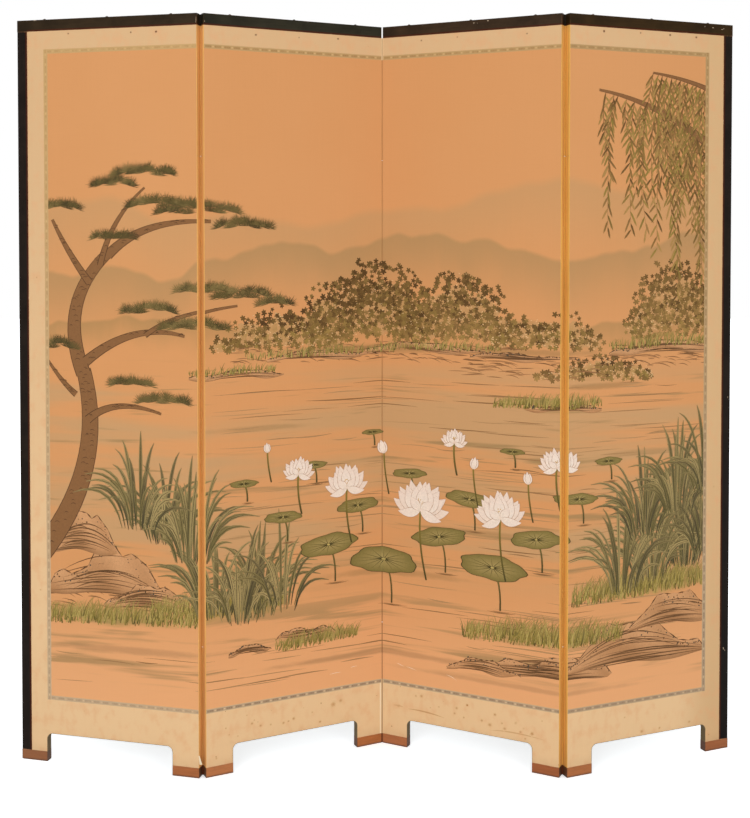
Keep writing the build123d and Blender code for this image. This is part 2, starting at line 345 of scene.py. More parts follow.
def makeEdgeWear():  # patchy rubbing within Reach of an edge
    tree, bench, given, out = newGroup(
        "edgeWear",
        [("Vector", "Vector", None), ("Distance", "Float", 0.0), ("Reach", "Float", 0.002), ("Amount", "Float", 0.5)],
        [("Mask", "Float")],
    )
    patch = bench.noise(given["Vector"], 42.0, 4.0, 0.6)
    nick = bench.noise(given["Vector"], 420.0, 3.0, 0.6)
    near = bench.math("SUBTRACT", 1.0, given["Distance"] / given["Reach"], clamp=True)
    raised = near * 0.42 + (patch * 0.65 + nick * 0.35) * 0.9
    sharp = bench.ease(raised - (1.02 - given["Amount"] * 0.4), 0.0, 0.06)
    bench.feed(out["Mask"], sharp * bench.ease(near, 0.0, 0.3))
    return tree


def makeWoodGrain():  # grain along X, with pores and slow figure
    tree, bench, given, out = newGroup(
        "woodGrain",
        [("Vector", "Vector", None), ("Along", "Vector", (9, 160, 160)), ("Figure", "Float", 0.2)],
        [("Tone", "Float"), ("Height", "Float")],
    )
    laid = bench.stretch(given["Vector"], given["Along"])
    rings = bench.noise(laid, 1.0, 4.0, 0.55, 0.8)
    dark = bench.ease(bench.drawn(laid, (1.5, 7, 7), 2.0), 0.56, 0.72)
    lift = (rings - 0.5) * (given["Figure"] * 2.0)
    bench.feed(out["Tone"], 1.0 + (lift - dark * given["Figure"]))
    bench.feed(out["Height"], rings - dark)
    return tree


silkWeave = makeSilkWeave()
ageSpots = makeAgeSpots()
boxEdge = makeBoxEdge()
edgeWear = makeEdgeWear()
woodGrain = makeWoodGrain()


# ---- silks, bands and cloths

folds = {1: "axis_behind", 2: "axis_in_front", 3: "axis_behind"}  # the side of the panels that each axis is on
washColours = {
    "ground": srgb(217, 154, 99), "groundWarm": srgb(211, 146, 88), "groundLow": srgb(232, 168, 114),
    "hill": srgb(168, 132, 84), "farHill": srgb(196, 148, 97), "marsh": srgb(150, 122, 72),
    "water": srgb(194, 152, 104), "waterDeep": srgb(154, 124, 78), "bank": srgb(150, 132, 68),
    "shade": srgb(140, 110, 64), "earth": srgb(178, 130, 86),
}
washRidges = [  # shift of the noise, foot, rise, slope, pitch, softness, depth of the fade, colour, strength
    (3.1, 1.18, 0.34, 0.02, 1.9, 0.03, 0.26, "farHill", 0.75),
    (8.7, 1.03, 0.36, 0.04, 2.7, 0.014, 0.22, "hill", 0.7),
    (14.2, 0.98, 0.20, 0.0, 3.9, 0.01, 0.13, "marsh", 0.55),
]
washPatches = [  # soft patches: middle along and up, half width and height, colour, strength
    (0.88, 1.000, 0.30, 0.014, "shade", 0.55), (1.26, 1.004, 0.26, 0.012, "shade", 0.5),
    (1.70, 1.018, 0.16, 0.012, "shade", 0.5), (1.48, 0.925, 0.16, 0.010, "shade", 0.5),
    (0.24, 0.372, 0.26, 0.030, "bank", 0.7), (0.54, 0.392, 0.17, 0.030, "bank", 0.7),
    (1.34, 0.326, 0.21, 0.026, "bank", 0.7), (1.62, 0.440, 0.22, 0.036, "bank", 0.75),
    (1.35, 0.888, 0.13, 0.012, "bank", 0.7), (0.75, 0.294, 0.12, 0.016, "bank", 0.65),
    (0.92, 0.235, 0.40, 0.010, "earth", 0.6), (0.30, 0.290, 0.26, 0.012, "earth", 0.6),
    (1.30, 0.200, 0.36, 0.008, "earth", 0.5), (0.95, 0.440, 0.26, 0.012, "shade", 0.4),
    (1.20, 0.560, 0.22, 0.010, "shade", 0.35), (0.60, 0.820, 0.16, 0.009, "shade", 0.35),
    (1.62, 0.760, 0.16, 0.010, "shade", 0.35),
]


def makeLandscapeWash():  # the soft washes behind the brushwork, on the unfolded picture: X along the screen, Z up
    tree, bench, given, out = newGroup("landscapeWash", [("Vector", "Vector", None)], [("Color", "Color")])
    place = bench.stretch(given["Vector"], (1, 0, 1))
    u, _, v = bench.split(place)
    colour = bench.blend(bench.noise(place, 2.4, 3.0), washColours["ground"], washColours["groundWarm"])
    colour = bench.blend(bench.ease(v, 0.15, 0.5, 1.0, 0.0), colour, washColours["groundLow"])
    for shift, low, rise, slope, pitch, soft, fade, tint, strength in washRidges:
        along = bench.shift(bench.stretch(place, (pitch, 0, 0)), (shift, shift * 0.7, 0))
        depth = low + bench.noise(along, 1.0, 3.0, 0.45) * rise + u * slope - v
        crease = bench.drawn(place, (9, 1, 3.2), 4.0, 0.6) * 0.08
        cover = bench.ease(depth, 0.0, soft) * bench.ease(depth + crease, 0.03, fade, 1.0, 0.0) * strength
        colour = bench.blend(cover, colour, washColours[tint])
    inWater = bench.ease(v, 0.40, 0.50) * bench.ease(v, 0.90, 1.0, 1.0, 0.0)
    broad = bench.drawn(place, (1.3, 1, 15), 3.0, 0.5)
    colour = bench.blend(inWater * bench.ease(broad, 0.40, 0.62, 0.0, 0.8), colour, washColours["water"])
    streak = bench.ease(bench.drawn(place, (2.6, 1, 46), 3.0, 0.6, 0.4), 0.56, 0.70) * inWater
    colour = bench.blend(streak * 0.75, colour, washColours["waterDeep"])
    lower = bench.ease(v, 0.19, 0.24) * bench.ease(v, 0.34, 0.44, 1.0, 0.0)
    shoal = bench.ease(bench.drawn(place, (2.0, 1, 34), 3.0, 0.6, 0.3), 0.50, 0.66, 0.0, 0.7)
    colour = bench.blend(shoal * lower, colour, washColours["waterDeep"])
    ragged = bench.drawn(place, (14, 1, 60), 3.0, 0.6) * 0.9
    for along, up, wide, tall, tint, strength in washPatches:
        near = bench.stretch(bench.shift(place, (-along, 0, -up)), (1 / wide, 0, 1 / tall))
        cover = bench.ease(bench.vector("LENGTH", near) + ragged, 0.75, 1.5, strength, 0.0)
        colour = bench.blend(cover, colour, washColours[tint])
    bench.feed(out["Color"], colour)
    return tree


landscapeWash = makeLandscapeWash()
silkFinish = {"pitch": 0.0007, "slub": 0.012, "roughness": 0.72, "sheen": 0.12, "spot": srgb(160, 100, 56)}


def finishPicture(number):
    silk = Finish(f"painted_silk_{number}", number, silkFinish["roughness"], 0.25, silkFinish["sheen"])
    unfolded = panelCoordinates(silk, number, (number - 1) * panelWidth)
    silk.colour = silk.group(landscapeWash, Vector=unfolded)["Color"]
    spots = silk.group(ageSpots, Vector=unfolded, Scale=38.0, Share=0.05, Size=0.07)["Mask"]
    silk.over(spots * 0.5, silkFinish["spot"])
    return silk.woven(silkFinish["pitch"], silkFinish["slub"], 0.00006, 0.6)


borderFinish = {
    "top": srgb(217, 177, 130), "low": srgb(232, 194, 146), "right": srgb(214, 174, 125),
    "fox": srgb(168, 112, 62), "blush": srgb(224, 164, 116), "soil": srgb(150, 112, 72), "liftedEdgeHighlight": srgb(250, 228, 192),
    "spotted": {1: 0.10, 2: 0.26, 3: 0.22, 4: 0.12},
}


def finishBorder(number, stained=False):
    name = f"stained_silk_{number}" if stained else f"border_silk_{number}"
    silk = Finish(name, number, 0.7, 0.25, silkFinish["sheen"])
    x, _, z = silk.split(silk.own)
    silk.colour = silk.blend(silk.ease(z, 0.2, 1.6), borderFinish["low"], borderFinish["top"])
    if number == 4:
        silk.over(silk.ease(x, 0.30, 0.42), borderFinish["right"])
    cloudy = silk.noise(silk.own, 9.0, 4.0, 0.6)
    silk.over(silk.ease(cloudy, 0.5, 0.75, 0.0, 0.22), borderFinish["right"])
    share = borderFinish["spotted"][number]
    spots = silk.group(ageSpots, Vector=silk.own, Scale=85.0, Share=share, Size=0.13)["Mask"]
    silk.over(spots * silk.ease(z, 0.12, 0.2, 1.0, 0.25), borderFinish["fox"])
    silk.over(silk.ease(z, 0.024, 0.05, 0.25, 0.0) * silk.noise(silk.own, 60.0), borderFinish["soil"])
    mottled = silk.drawn(silk.own, (34, 34, 26), 3.0, 0.55)
    silk.over(silk.ease(mottled, 0.46, 0.72, 0.0, 0.42), borderFinish["blush"])
    if number == 2:  # the silk's edge has lifted beside the middle fold; the paler stripe along it is a painted highlight
        beside = silk.ease(x, panelWidth - 0.0050, panelWidth - 0.0035)
        silk.over(beside * silk.ease(z, 0.14, 0.2, 0.85, 0.0), borderFinish["liftedEdgeHighlight"])
    if stained:
        silk.over(1.0, silk.out("ShaderNodeAttribute", output="Color", attribute_name="ink"), "MULTIPLY")
    return silk.woven(0.0008, 0.009, 0.00008, 0.6)


bandFinish = {  # the upper band has browned, the lower one is still grey
    "width": 0.0105,
    "repeat": 0.0235,
    "top": {
        "ground": srgb(188, 151, 98), "dash": srgb(164, 126, 76),
        "spot": srgb(206, 168, 116), "edge": srgb(194, 155, 104),
    },
    "low": {
        "ground": srgb(186, 158, 124), "dash": srgb(146, 122, 94),
        "spot": srgb(214, 188, 150), "edge": srgb(214, 186, 146),
    },
    "tone": {1: 1.10, 2: 1.0, 3: 1.0, 4: 0.90},
    "faded": {1: 0.5, 2: 0.0, 3: 0.1, 4: 0.25},
}


def bandPattern(bench, along, middle, inks):  # along runs with the band, middle is the distance from its centre line
    def within(value, full, none):
        return bench.ease(value, full, none, 1.0, 0.0)

    phase = bench.math("FRACT", along / bandFinish["repeat"])
    fromDash, across = abs(phase - 0.5), abs(middle)
    dash = within(fromDash, 0.30, 0.35) * within(across, 0.0021, 0.0027)
    curl = abs(bench.math("FRACT", phase * 4.0) - 0.5)
    notch = within(curl, 0.1, 0.16) * within(across, 0.0006, 0.0011)
    diamond = (0.5 - fromDash) * bandFinish["repeat"] + across
    colour = bench.blend(dash, inks["ground"], inks["dash"])
    colour = bench.blend(notch * dash * 0.6, colour, inks["ground"])
    colour = bench.blend(within(diamond, 0.0019, 0.0026), colour, inks["spot"])
    return bench.blend(bench.ease(across, 0.0040, 0.0045), colour, inks["edge"])


def finishBand(number):
    band = Finish(f"patterned_band_{number}", number, 0.68, 0.3, 0.1)
    x, _, z = band.split(band.own)
    half = bandFinish["width"] / 2
    low, high = pictureHeights
    flat = {0: z > 1.0, 2: z - (low - half), 3: z - (high + half)}
    upper = band.ease(z, 0.2, 1.6)
    inks = {part: band.blend(upper, bandFinish["low"][part], bandFinish["top"][part]) for part in bandFinish["low"]}
    band.colour = bandPattern(band, x, band.out("ShaderNodeMix", flat), inks)
    side = {1: panels[1]["picture"][0] - half, 4: panels[4]["picture"][1] + half}.get(number)
    if side is not None:
        upright = bandPattern(band, z, x - side, inks)
        band.over(band.ease(abs(x - side), half, half + 0.0002, 1.0, 0.0), upright)
    worn = band.noise(band.own, 70.0, 3.0, 0.6)
    faded = bandFinish["faded"][number]
    band.over(band.ease(worn, 0.42, 0.7, faded, faded + 0.5), inks["ground"])
    return band.woven(0.0009, 0.02, 0.0001, 0.7, bandFinish["tone"][number])


hingeFinish = {
    1: {"cloth": srgb(236, 180, 102), "soil": srgb(190, 130, 76)},
    # the middle fold's cloth is darker: partly dirt, partly painted shade of the valley fold
    2: {"cloth": srgb(206, 158, 104), "soil": srgb(150, 106, 62)},
    3: {"cloth": srgb(236, 180, 88), "soil": srgb(186, 128, 62)},
    # painted shade: the fold cloth is near black beside the rails and dark brown beside the shoes, where the groove
    # between two panels lies in shade
    "railGrooveShade": srgb(34, 26, 16),
    "shoeGrooveShade": srgb(98, 46, 22),
}
# painted shade, partly dirt, down the middle of the valley crease: where it lies, how wide, how dark low and high, and
# its colour
hingeCrease = {
    "middle": 0.0012, "core": 0.0003, "reach": 0.0011, "low": 0.95, "high": 0.45, "colour": srgb(108, 62, 36),
}


def layHingeTone(cloth, fold):  # the cloth's colour, streaked and a little soiled
    streaks = cloth.drawn(cloth.own, (160, 160, 3.5), 4.0, 0.6)
    soiled = cloth.ease(streaks, 0.42, 0.72, 0.0, 0.55)
    cloth.colour = cloth.blend(soiled, hingeFinish[fold]["cloth"], hingeFinish[fold]["soil"])
    patches = cloth.drawn(cloth.own, (20, 20, 3), 3.0)
    cloth.over(cloth.ease(patches, 0.5, 0.75, 0.0, 0.35), hingeFinish[fold]["soil"])


def finishHinge(fold, number):
    cloth = Finish(f"hinge_cloth_{fold}_{number}", number, 0.85, 0.15, 0.1)
    _, y, z = cloth.split(cloth.own)
    layHingeTone(cloth, fold)
    # painted shade, partly dirt: darker towards the panel's back, which at the mountain folds is the bottom of the
    # groove
    cloth.over(cloth.ease(y, 0.0150, 0.0178, 0.0, 0.35), hingeFinish[fold]["soil"])
    cloth.over(cloth.ease(z, 0.03, 0.12, 0.35, 0.0), hingeFinish[fold]["soil"])
    return cloth.woven(0.0011, 0.03, 0.00015, 0.8)


def finishBridge(fold):  # cloth in the crease, painted near black beside the rails and dark brown beside the shoes for the shade in the groove
    cloth = Finish(f"fold_cloth_{fold}", fold, 0.85, 0.12, 0.1)
    x, _, z = cloth.split(cloth.own)
    if folds[fold] == "axis_in_front":  # silk is pasted over this one, so that the picture runs on
        unfolded = panelCoordinates(cloth, fold, (fold - 1) * panelWidth)
        picture = cloth.tint(cloth.group(landscapeWash, Vector=unfolded)["Color"], 0.93)
        low, high = pictureHeights
        cloth.colour = cloth.blend((z > low) * (z < high), cloth.tint(borderFinish["low"], 0.9), picture)
        streaks = cloth.drawn(cloth.own, (60, 60, 9), 4.0, 0.6)
        cloth.over(cloth.ease(streaks, 0.5, 0.7, 0.0, 0.3), hingeFinish[fold]["soil"])
        # painted shade, partly dirt, along the valley crease, darker towards the bottom
        away = abs(x - (panelWidth + hingeCrease["middle"]))
        line = cloth.ease(away, hingeCrease["core"], hingeCrease["reach"], 1.0, 0.0)
        depth = cloth.ease(z, 0.10, 1.10, hingeCrease["low"], hingeCrease["high"])
        cloth.over(line * depth, hingeCrease["colour"])
    else:
        layHingeTone(cloth, fold)
    # painted shade of the groove between the panels: near black beside the rails, dark brown beside the shoes
    cloth.over(z > panelHeight - railHeight, hingeFinish["railGrooveShade"])
    cloth.over(z < shoeHeight, hingeFinish["shoeGrooveShade"])
    return cloth.woven(0.0011, 0.03, 0.00012, 0.6)


lattice = {"columns": 2, "rows": 10, "low": 0.1298, "high": 1.7385, "halfBar": 0.03, "foldEnd": 0.0004}


def evenly(low, high, count):  # a line at each end and so many between them
    return [low + (high - low) * index / (count + 1) for index in range(count + 2)]


def barLines(number):  # the lines that the lattice's bars lie on behind the back cloth, across and up
    left = (stileWidth if number == 1 else lattice["foldEnd"]) + lattice["halfBar"]
    right = panelWidth - (stileWidth if number == 4 else lattice["foldEnd"]) - lattice["halfBar"]
    return evenly(left, right, lattice["columns"]), evenly(lattice["low"], lattice["high"], lattice["rows"])


def fromLines(bench, value, lines):  # the distance to the nearest of some evenly spaced lines, the outermost left out
    pitch = lines[1] - lines[0]
    steps = (value - lines[0]) / pitch
    apart = abs(steps - bench.math("ROUND", steps)) * pitch
    outside = abs(value - (lines[0] + lines[-1]) / 2) > (lines[-1] - lines[0]) / 2 - pitch / 2
    return apart + outside


backFinish = {
    "ground": srgb(104, 90, 60), "faded": srgb(122, 104, 72), "rubbed": srgb(142, 124, 90),
    "spot": srgb(74, 60, 38), "low": srgb(86, 70, 46), "overBar": srgb(146, 128, 94),
}


def finishBackCloth(number):
    cloth = Finish(f"back_cloth_{number}", number, 0.88, 0.15, 0.12)
    x, _, z = cloth.split(cloth.own)
    cloth.colour = cloth.blend(cloth.noise(cloth.own, 3.5, 4.0, 0.6), backFinish["ground"], backFinish["faded"])
    rubbed = cloth.drawn(cloth.own, (22, 22, 3), 4.0, 0.6)
    cloth.over(cloth.ease(rubbed, 0.58, 0.8, 0.0, 0.35), backFinish["rubbed"])
    spots = cloth.group(ageSpots, Vector=cloth.own, Scale=46.0, Share=0.08, Size=0.1)["Mask"]
    cloth.over(spots * 0.6, backFinish["spot"])
    cloth.over(cloth.ease(z, 0.03, 0.22, 0.35, 0.0), backFinish["low"])
    apart = [fromLines(cloth, value, lines) for value, lines in zip((x, z), barLines(number))]
    overBar = cloth.ease(cloth.math("MINIMUM", *apart), 0.0052, 0.0070, 1.0, 0.0)
    cloth.over(overBar * cloth.ease(rubbed, 0.3, 0.7, 0.08, 0.34), backFinish["overBar"])
    return cloth.woven(0.0012, 0.035, 0.00018, 0.9)


# ---- lacquer, woods, paper and nails

lacquerFinish = {
    "rails": {1: srgb(48, 36, 22), 2: srgb(43, 40, 29), 3: srgb(54, 39, 25), 4: srgb(50, 35, 16)},
    "stile": srgb(28, 21, 16),
    "stileTone": {1: (1.0, 1.15), 4: (0.6, 1.15)},  # at the foot and at the top
    "inner": srgb(72, 28, 12),
    "rubbed": srgb(112, 78, 52),
    "chip": srgb(206, 182, 150),
}


def innerSides(number):  # where the silk starts and ends across a panel, with nothing to stop it at a fold
    return (stileWidth if number == 1 else -1.0), (panelWidth - stileWidth if number == 4 else 1.0)


def finishLacquer(name, number, colour, centre, half, along, inner, tone=(1.0, 1.0)):
    coat = Finish(name, number, 0.42, 0.05)
    own = coat.own
    x, _, z = coat.split(own)
    distance = coat.group(boxEdge, Vector=own, Centre=centre, Half=half)["Distance"]
    worn = coat.group(edgeWear, Vector=own, Distance=distance, Reach=0.0035, Amount=0.62)["Mask"]
    moved = coat.shift(own, (3, 5, 7))
    chipped = coat.group(edgeWear, Vector=moved, Distance=distance, Reach=0.0022, Amount=0.30)["Mask"]
    grain = coat.group(woodGrain, Vector=own, Along=along, Figure=0.22)
    streak = coat.drawn(own, (16, 50, 16), 4.0, 0.6)
    deep = coat.tint(coat.tint(colour, coat.ease(streak, 0.3, 0.7, 0.72, 1.25)), grain["Tone"])
    coat.colour = coat.tint(deep, coat.ease(z, 0.1, 1.2, *tone))
    axis, edge, first, last = inner
    redder = coat.ease(abs({"X": x, "Z": z}[axis] - edge), 0.0016, 0.0056, 0.85, 0.0)
    coat.over(redder * ((x > first) * (x < last)), lacquerFinish["inner"])
    coat.over(worn * 0.75, lacquerFinish["rubbed"])
    coat.over(chipped, lacquerFinish["chip"])
    gloss = coat.ease(coat.noise(own, 24.0, 4.0, 0.6), 0.3, 0.7, 0.34, 0.52)
    coat.feed(coat.shader["Roughness"], gloss + worn * 0.25)
    return coat.close(coat.colour, grain["Height"] * 0.35 - (worn + chipped), 0.0002, 0.5)


def finishRail(number):
    centre = (panelWidth / 2, panelThickness / 2, panelHeight - railHeight / 2)
    half = (panelWidth / 2, panelThickness / 2 + frameProud, railHeight / 2)
    inner = ("Z", panelHeight - railHeight, *innerSides(number))
    colour = lacquerFinish["rails"][number]
    return finishLacquer(f"rail_lacquer_{number}", number, colour, centre, half, (9, 160, 160), inner)


def finishStile(number):
    x = stileWidth / 2 if number == 1 else panelWidth - stileWidth / 2
    low, high = shoeHeight, panelHeight - railHeight
    centre = (x, panelThickness / 2, (low + high) / 2)
    half = (stileWidth / 2, panelThickness / 2 + frameProud, (high - low) / 2)
    inner = ("X", innerSides(number)[0 if number == 1 else 1], -1.0, 1.0)
    colour, tone = lacquerFinish["stile"], lacquerFinish["stileTone"][number]
    return finishLacquer(f"stile_lacquer_{number}", number, colour, centre, half, (160, 160, 9), inner, tone)


shoeFinish = {  # each panel's left and right shoe, and their marks
    1: (srgb(144, 90, 54), srgb(166, 98, 52)),
    2: (srgb(182, 114, 66), srgb(172, 100, 48)),
    3: (srgb(172, 104, 60), srgb(156, 88, 46)),
    4: (srgb(172, 104, 56), srgb(154, 90, 48)),
    "scuff": srgb(120, 72, 42), "worn": srgb(206, 150, 104), "low": srgb(82, 56, 40), "end": srgb(62, 38, 24),
}


def finishShoes(number):
    wood = Finish(f"shoe_wood_{number}", number, 0.58, 0.3)
    x, y, z = wood.split(wood.own)
    grain = wood.group(woodGrain, Vector=wood.own, Along=(22, 300, 300), Figure=0.3)
    wood.colour = wood.tint(wood.blend(x > panelWidth / 2, *shoeFinish[number]), grain["Tone"])
    near = wood.math("MINIMUM", abs(x - legWidth / 2), abs(x - (panelWidth - legWidth / 2)))  # from a shoe's middle
    alike = wood.out("ShaderNodeCombineXYZ", {0: near, 1: y, 2: z})
    half = (legWidth / 2, panelThickness / 2 + frameProud, shoeHeight / 2)
    centre = (0, panelThickness / 2, shoeHeight / 2)
    distance = wood.group(boxEdge, Vector=alike, Centre=centre, Half=half)["Distance"]
    worn = wood.group(edgeWear, Vector=wood.own, Distance=distance, Reach=0.003, Amount=0.5)["Mask"]
    scuff = wood.ease(wood.drawn(wood.own, (30, 30, 120), 4.0, 0.7), 0.55, 0.75)
    wood.over(scuff * 0.35, shoeFinish["scuff"])
    wood.over(worn * 0.6, shoeFinish["worn"])
    wood.over(wood.ease(z, 0.0012, 0.0048, 1.0, 0.0) * 0.75, shoeFinish["low"])
    wood.over(wood.ease(legWidth / 2 - near, 0.0002, 0.0012, 0.85, 0.0), shoeFinish["end"])
    return wood.close(wood.colour, grain["Height"], 0.0002, 0.6)


plainFinish = {
    "wood": (srgb(206, 172, 122), srgb(184, 142, 92)), "paper": (srgb(196, 178, 140), srgb(214, 200, 166)),
    "steel": (srgb(52, 46, 40), srgb(92, 58, 36)), "chip": (srgb(150, 128, 106), srgb(196, 176, 148)),
    "torn": srgb(242, 224, 190),
}


def finishCoreWood(number):
    wood = Finish(f"core_wood_{number}", number, 0.75, 0.25)
    grain = wood.group(woodGrain, Vector=wood.own, Along=(120, 120, 8), Figure=0.16)
    colour = wood.tint(wood.blend(wood.noise(wood.own, 4.0), *plainFinish["wood"]), grain["Tone"])
    return wood.close(colour, grain["Height"], 0.0002, 0.5)


def finishPaper(number):
    paper = Finish(f"paper_board_{number}", number, 0.9, 0.1)
    fibres = paper.drawn(paper.own, (500, 500, 160), 4.0, 0.7)
    colour = paper.blend(paper.ease(fibres, 0.35, 0.65), *plainFinish["paper"])
    return paper.close(colour, fibres, 0.0001, 0.5)


def finishNails(number):
    steel = Finish(f"nail_steel_{number}", number, 0.5, 0.5)
    rust = steel.ease(steel.noise(steel.own, 700.0, 4.0, 0.7), 0.42, 0.62)
    steel.feed(steel.shader["Base Color"], steel.blend(rust, *plainFinish["steel"]))
    steel.feed(steel.shader["Metallic"], 0.8 - rust * 0.8)
    steel.feed(steel.shader["Roughness"], 0.42 + rust * 0.4)
    return steel.material


def finishPigment():
    paint = Finish("pigment", None, 0.7, 0.2)
    colour = paint.out("ShaderNodeAttribute", output="Color", attribute_name="ink")
    soak = paint.ease(paint.noise(paint.own, 240.0, 2.0), 0.2, 0.8, 0.93, 1.07)
    paint.feed(paint.shader["Base Color"], paint.tint(colour, soak))
    return paint.material


def finishChips():
    bare = Finish("bare_chips", None, 0.8, 0.2)
    grainy = bare.noise(bare.own, 900.0, 3.0, 0.7)
    return bare.close(bare.blend(grainy, *plainFinish["chip"]), grainy, 0.0001, 0.5)


def finishTorn():
    silk = Finish("torn_silk", None, 0.8, 0.2, 0.1)
    silk.colour = plainFinish["torn"]
    return silk.woven(0.0008, 0.04, 0.0001, 0.6)


def dress(name, material):
    materials = cadNodes[name].data.materials
    materials.clear()
    materials.append(material)


nodeFinishes = {"front_board": finishPaper, "top_rail": finishRail, "shoes": finishShoes, "nails": finishNails}
for number in panels:
    for piece, finish in nodeFinishes.items():
        dress(f"panel_{number}_{piece}", finish(number))
    dress(f"panel_{number}_cutout_lining", finishBackCloth(number))
    coreWood = finishCoreWood(number)
    for piece in ("core_stiles", "core_rails", "lattice_bars", "corner_blocks"):
        dress(f"panel_{number}_{piece}", coreWood)
dress("left_outer_stile", finishStile(1))
dress("right_outer_stile", finishStile(4))
print("finishes on")

# ---- silks, bands, back cloth and hinge cloths as pieces of cloth


def newPiece(name, bm, material, body=None, stands=()):
    mesh = bpy.data.meshes.new(name)
    bm.to_mesh(mesh)
    bm.free()
    mesh.materials.append(material)
    piece = link(name, mesh)
    if body:
        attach(piece, body)
    if stands:
        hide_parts(*stands)
    return piece


def move(bm, matrix):
    bmesh.ops.transform(bm, matrix=matrix, verts=bm.verts[:])


def faceOutward(bm):
    bmesh.ops.recalc_face_normals(bm, faces=bm.faces[:])


def thicken(bm, thickness):
    bmesh.ops.solidify(bm, geom=bm.faces[:], thickness=thickness)


def cutAcross(bm, point, outward, clear=False):
    everything = bm.verts[:] + bm.edges[:] + bm.faces[:]
    bmesh.ops.bisect_plane(bm, geom=everything, dist=1e-7, plane_co=point, plane_no=outward, clear_outer=clear)


def smoothFaces(bm, sharpest=25):
    bm.normal_update()
    for face in bm.faces:
        face.smooth = True
    for edge in bm.edges:
        if len(edge.link_faces) == 2 and edge.calc_face_angle(0) > math.radians(sharpest):
            edge.smooth = False


sheets = {
    "softEdge": 0.00013,
    "cell": 0.028,
    "ripple": 0.00009,
    "backCell": 0.0148,
    "sag": 0.00042,
    "bandLift": 0.00012,
    "faceDepth": 0.0001,  # what lies nearer to the face than this moves with it
    "merge": 0.000002,
}


def nodeShape(name, number):  # a node's mesh in its panel's own frame, its corners merged and its flat faces whole
    bm = bmesh.new()
    bm.from_mesh(cadNodes[name].data)
    bmesh.ops.remove_doubles(bm, verts=bm.verts[:], dist=sheets["merge"])
    move(bm, panelPlace(number).inverted())
    bmesh.ops.dissolve_limit(bm, angle_limit=math.radians(0.5), verts=bm.verts[:], edges=bm.edges[:])
    return bm


def softenRim(bm, depth):  # rounds the outline of the face that lies at this depth
    bm.normal_update()
    rim = [
        edge for edge in bm.edges
        if all(abs(vert.co.y - depth) < sheets["merge"] for vert in edge.verts)
        and any(abs(face.normal.y) < 0.5 for face in edge.link_faces)
    ]
    bmesh.ops.bevel(bm, geom=rim, offset=sheets["softEdge"], affect="EDGES", segments=2, profile=0.5, material=-1)


def cutInCells(bm, cell):
    for axis in (0, 2):
        low, high = min(vert.co[axis] for vert in bm.verts), max(vert.co[axis] for vert in bm.verts)
        count = max(1, round((high - low) / cell))
        for index in range(1, count):
            point, across = Vector((0, 0, 0)), Vector((0, 0, 0))
            point[axis], across[axis] = low + (high - low) * index / count, 1
            cutAcross(bm, point, across)


def ripple(x, z, number):  # how far silk lies in from its true plane, between 0 and 1
    slow = noise.noise(Vector((x * 9, z * 5, number * 7.3)))
    quick = noise.noise(Vector((x * 31, z * 17, number * 3.1)))
    return 0.5 + 0.38 * slow + 0.12 * quick


def gluedSheet(node, number, depth, cell, inward):  # soft at its rim, its face at this depth drawn in a little
    bm = nodeShape(node, number)
    softenRim(bm, depth)
    cutInCells(bm, cell)
    for vert in bm.verts:
        if abs(vert.co.y - depth) < sheets["faceDepth"]:
            vert.co.y += inward(vert.co.x, vert.co.z)
    move(bm, panelPlace(number))
    smoothFaces(bm)
    return bm


def silkPiece(kind, number, material, lift=0.0):
    def inward(x, z):
        return sheets["ripple"] * ripple(x, z, number) - lift

    node = f"panel_{number}_{kind}"
    bm = gluedSheet(node, number, 0.0, sheets["cell"], inward)
    piece = newPiece(f"{node}_cloth", bm, material, f"panel_{number}", [node])


def betweenMembers(value, edges):  # 0 on a member and 1 in the middle of the field between two
    for low, high in zip(edges, edges[1:]):
        if low <= value <= high:
            share = (value - low) / (high - low)
            return 1 - (2 * share - 1) ** 2
    return 0.0


def backPiece(number, material):  # back cloth drawn in a little between the bars behind it
    columns, rows = barLines(number)

    def inward(x, z):
        sag = sheets["sag"] * (betweenMembers(x, columns) * betweenMembers(z, rows))
        return -(sag + sheets["ripple"] * ripple(x, z, number + 9))

    node = f"panel_{number}_back_cover"
    bm = gluedSheet(node, number, panelThickness, sheets["backCell"], inward)
    piece = newPiece(f"panel_{number}_back_cloth", bm, material, f"panel_{number}", [node])


hinges = {
    "breaks": (0.307, 1.468),
    "gap": 0.0006,
    "thick": 0.00036,
    "lip": 0.0014,
    "axisAway": 0.001,
    "halfGap": 0.0012,
    "row": 0.008,
    "fray": 0.00025,
    "cutFray": 0.0002,
    "round": [  # the way round a panel's end: how far in from it, and how deep
        (0.0006, -0.00006), (0.00012, 0.00002), (0.0, 0.0004), (0.0, 0.0035), (0.0, 0.009),
        (0.0, 0.0145), (0.0, 0.0176), (0.00014, 0.01786), (0.0005, 0.018),
    ],
    "bridge": ((0.0012, -0.0004), (0.0002, 0.00008), (-0.0003, 0.00045), (-0.0008, 0.0008)),  # in, and out
    "bridgeWidth": 0.0105,
}


def hingeSections(low, high):
    first, second = hinges["breaks"]
    half = hinges["gap"] / 2
    return ((low, first - half), (first + half, second - half), (second + half, high))


def clothGrid(bm, path, low, high, fray):  # a strip of cloth that stands up, from points in plan along its width
    rows = max(2, round((high - low) / hinges["row"]))
    made = bmesh.ops.create_grid(bm, x_segments=len(path) - 1, y_segments=rows, size=1)["verts"]
    for vert in made:
        step, share = round((vert.co.x + 1) / 2 * (len(path) - 1)), (vert.co.y + 1) / 2
        z = low + (high - low) * share
        x, y = path[step](z)
        if vert.co.y < -0.999 or vert.co.y > 0.999:
            z += fray * noise.noise(Vector((step * 0.9, z * 50, 0)))
        vert.co = (x, y, z)


def foldEnd(fold, number):  # where a panel ends at a fold, and which way leads into the panel
    return (panelWidth, -1) if number == fold else (0.0, 1)


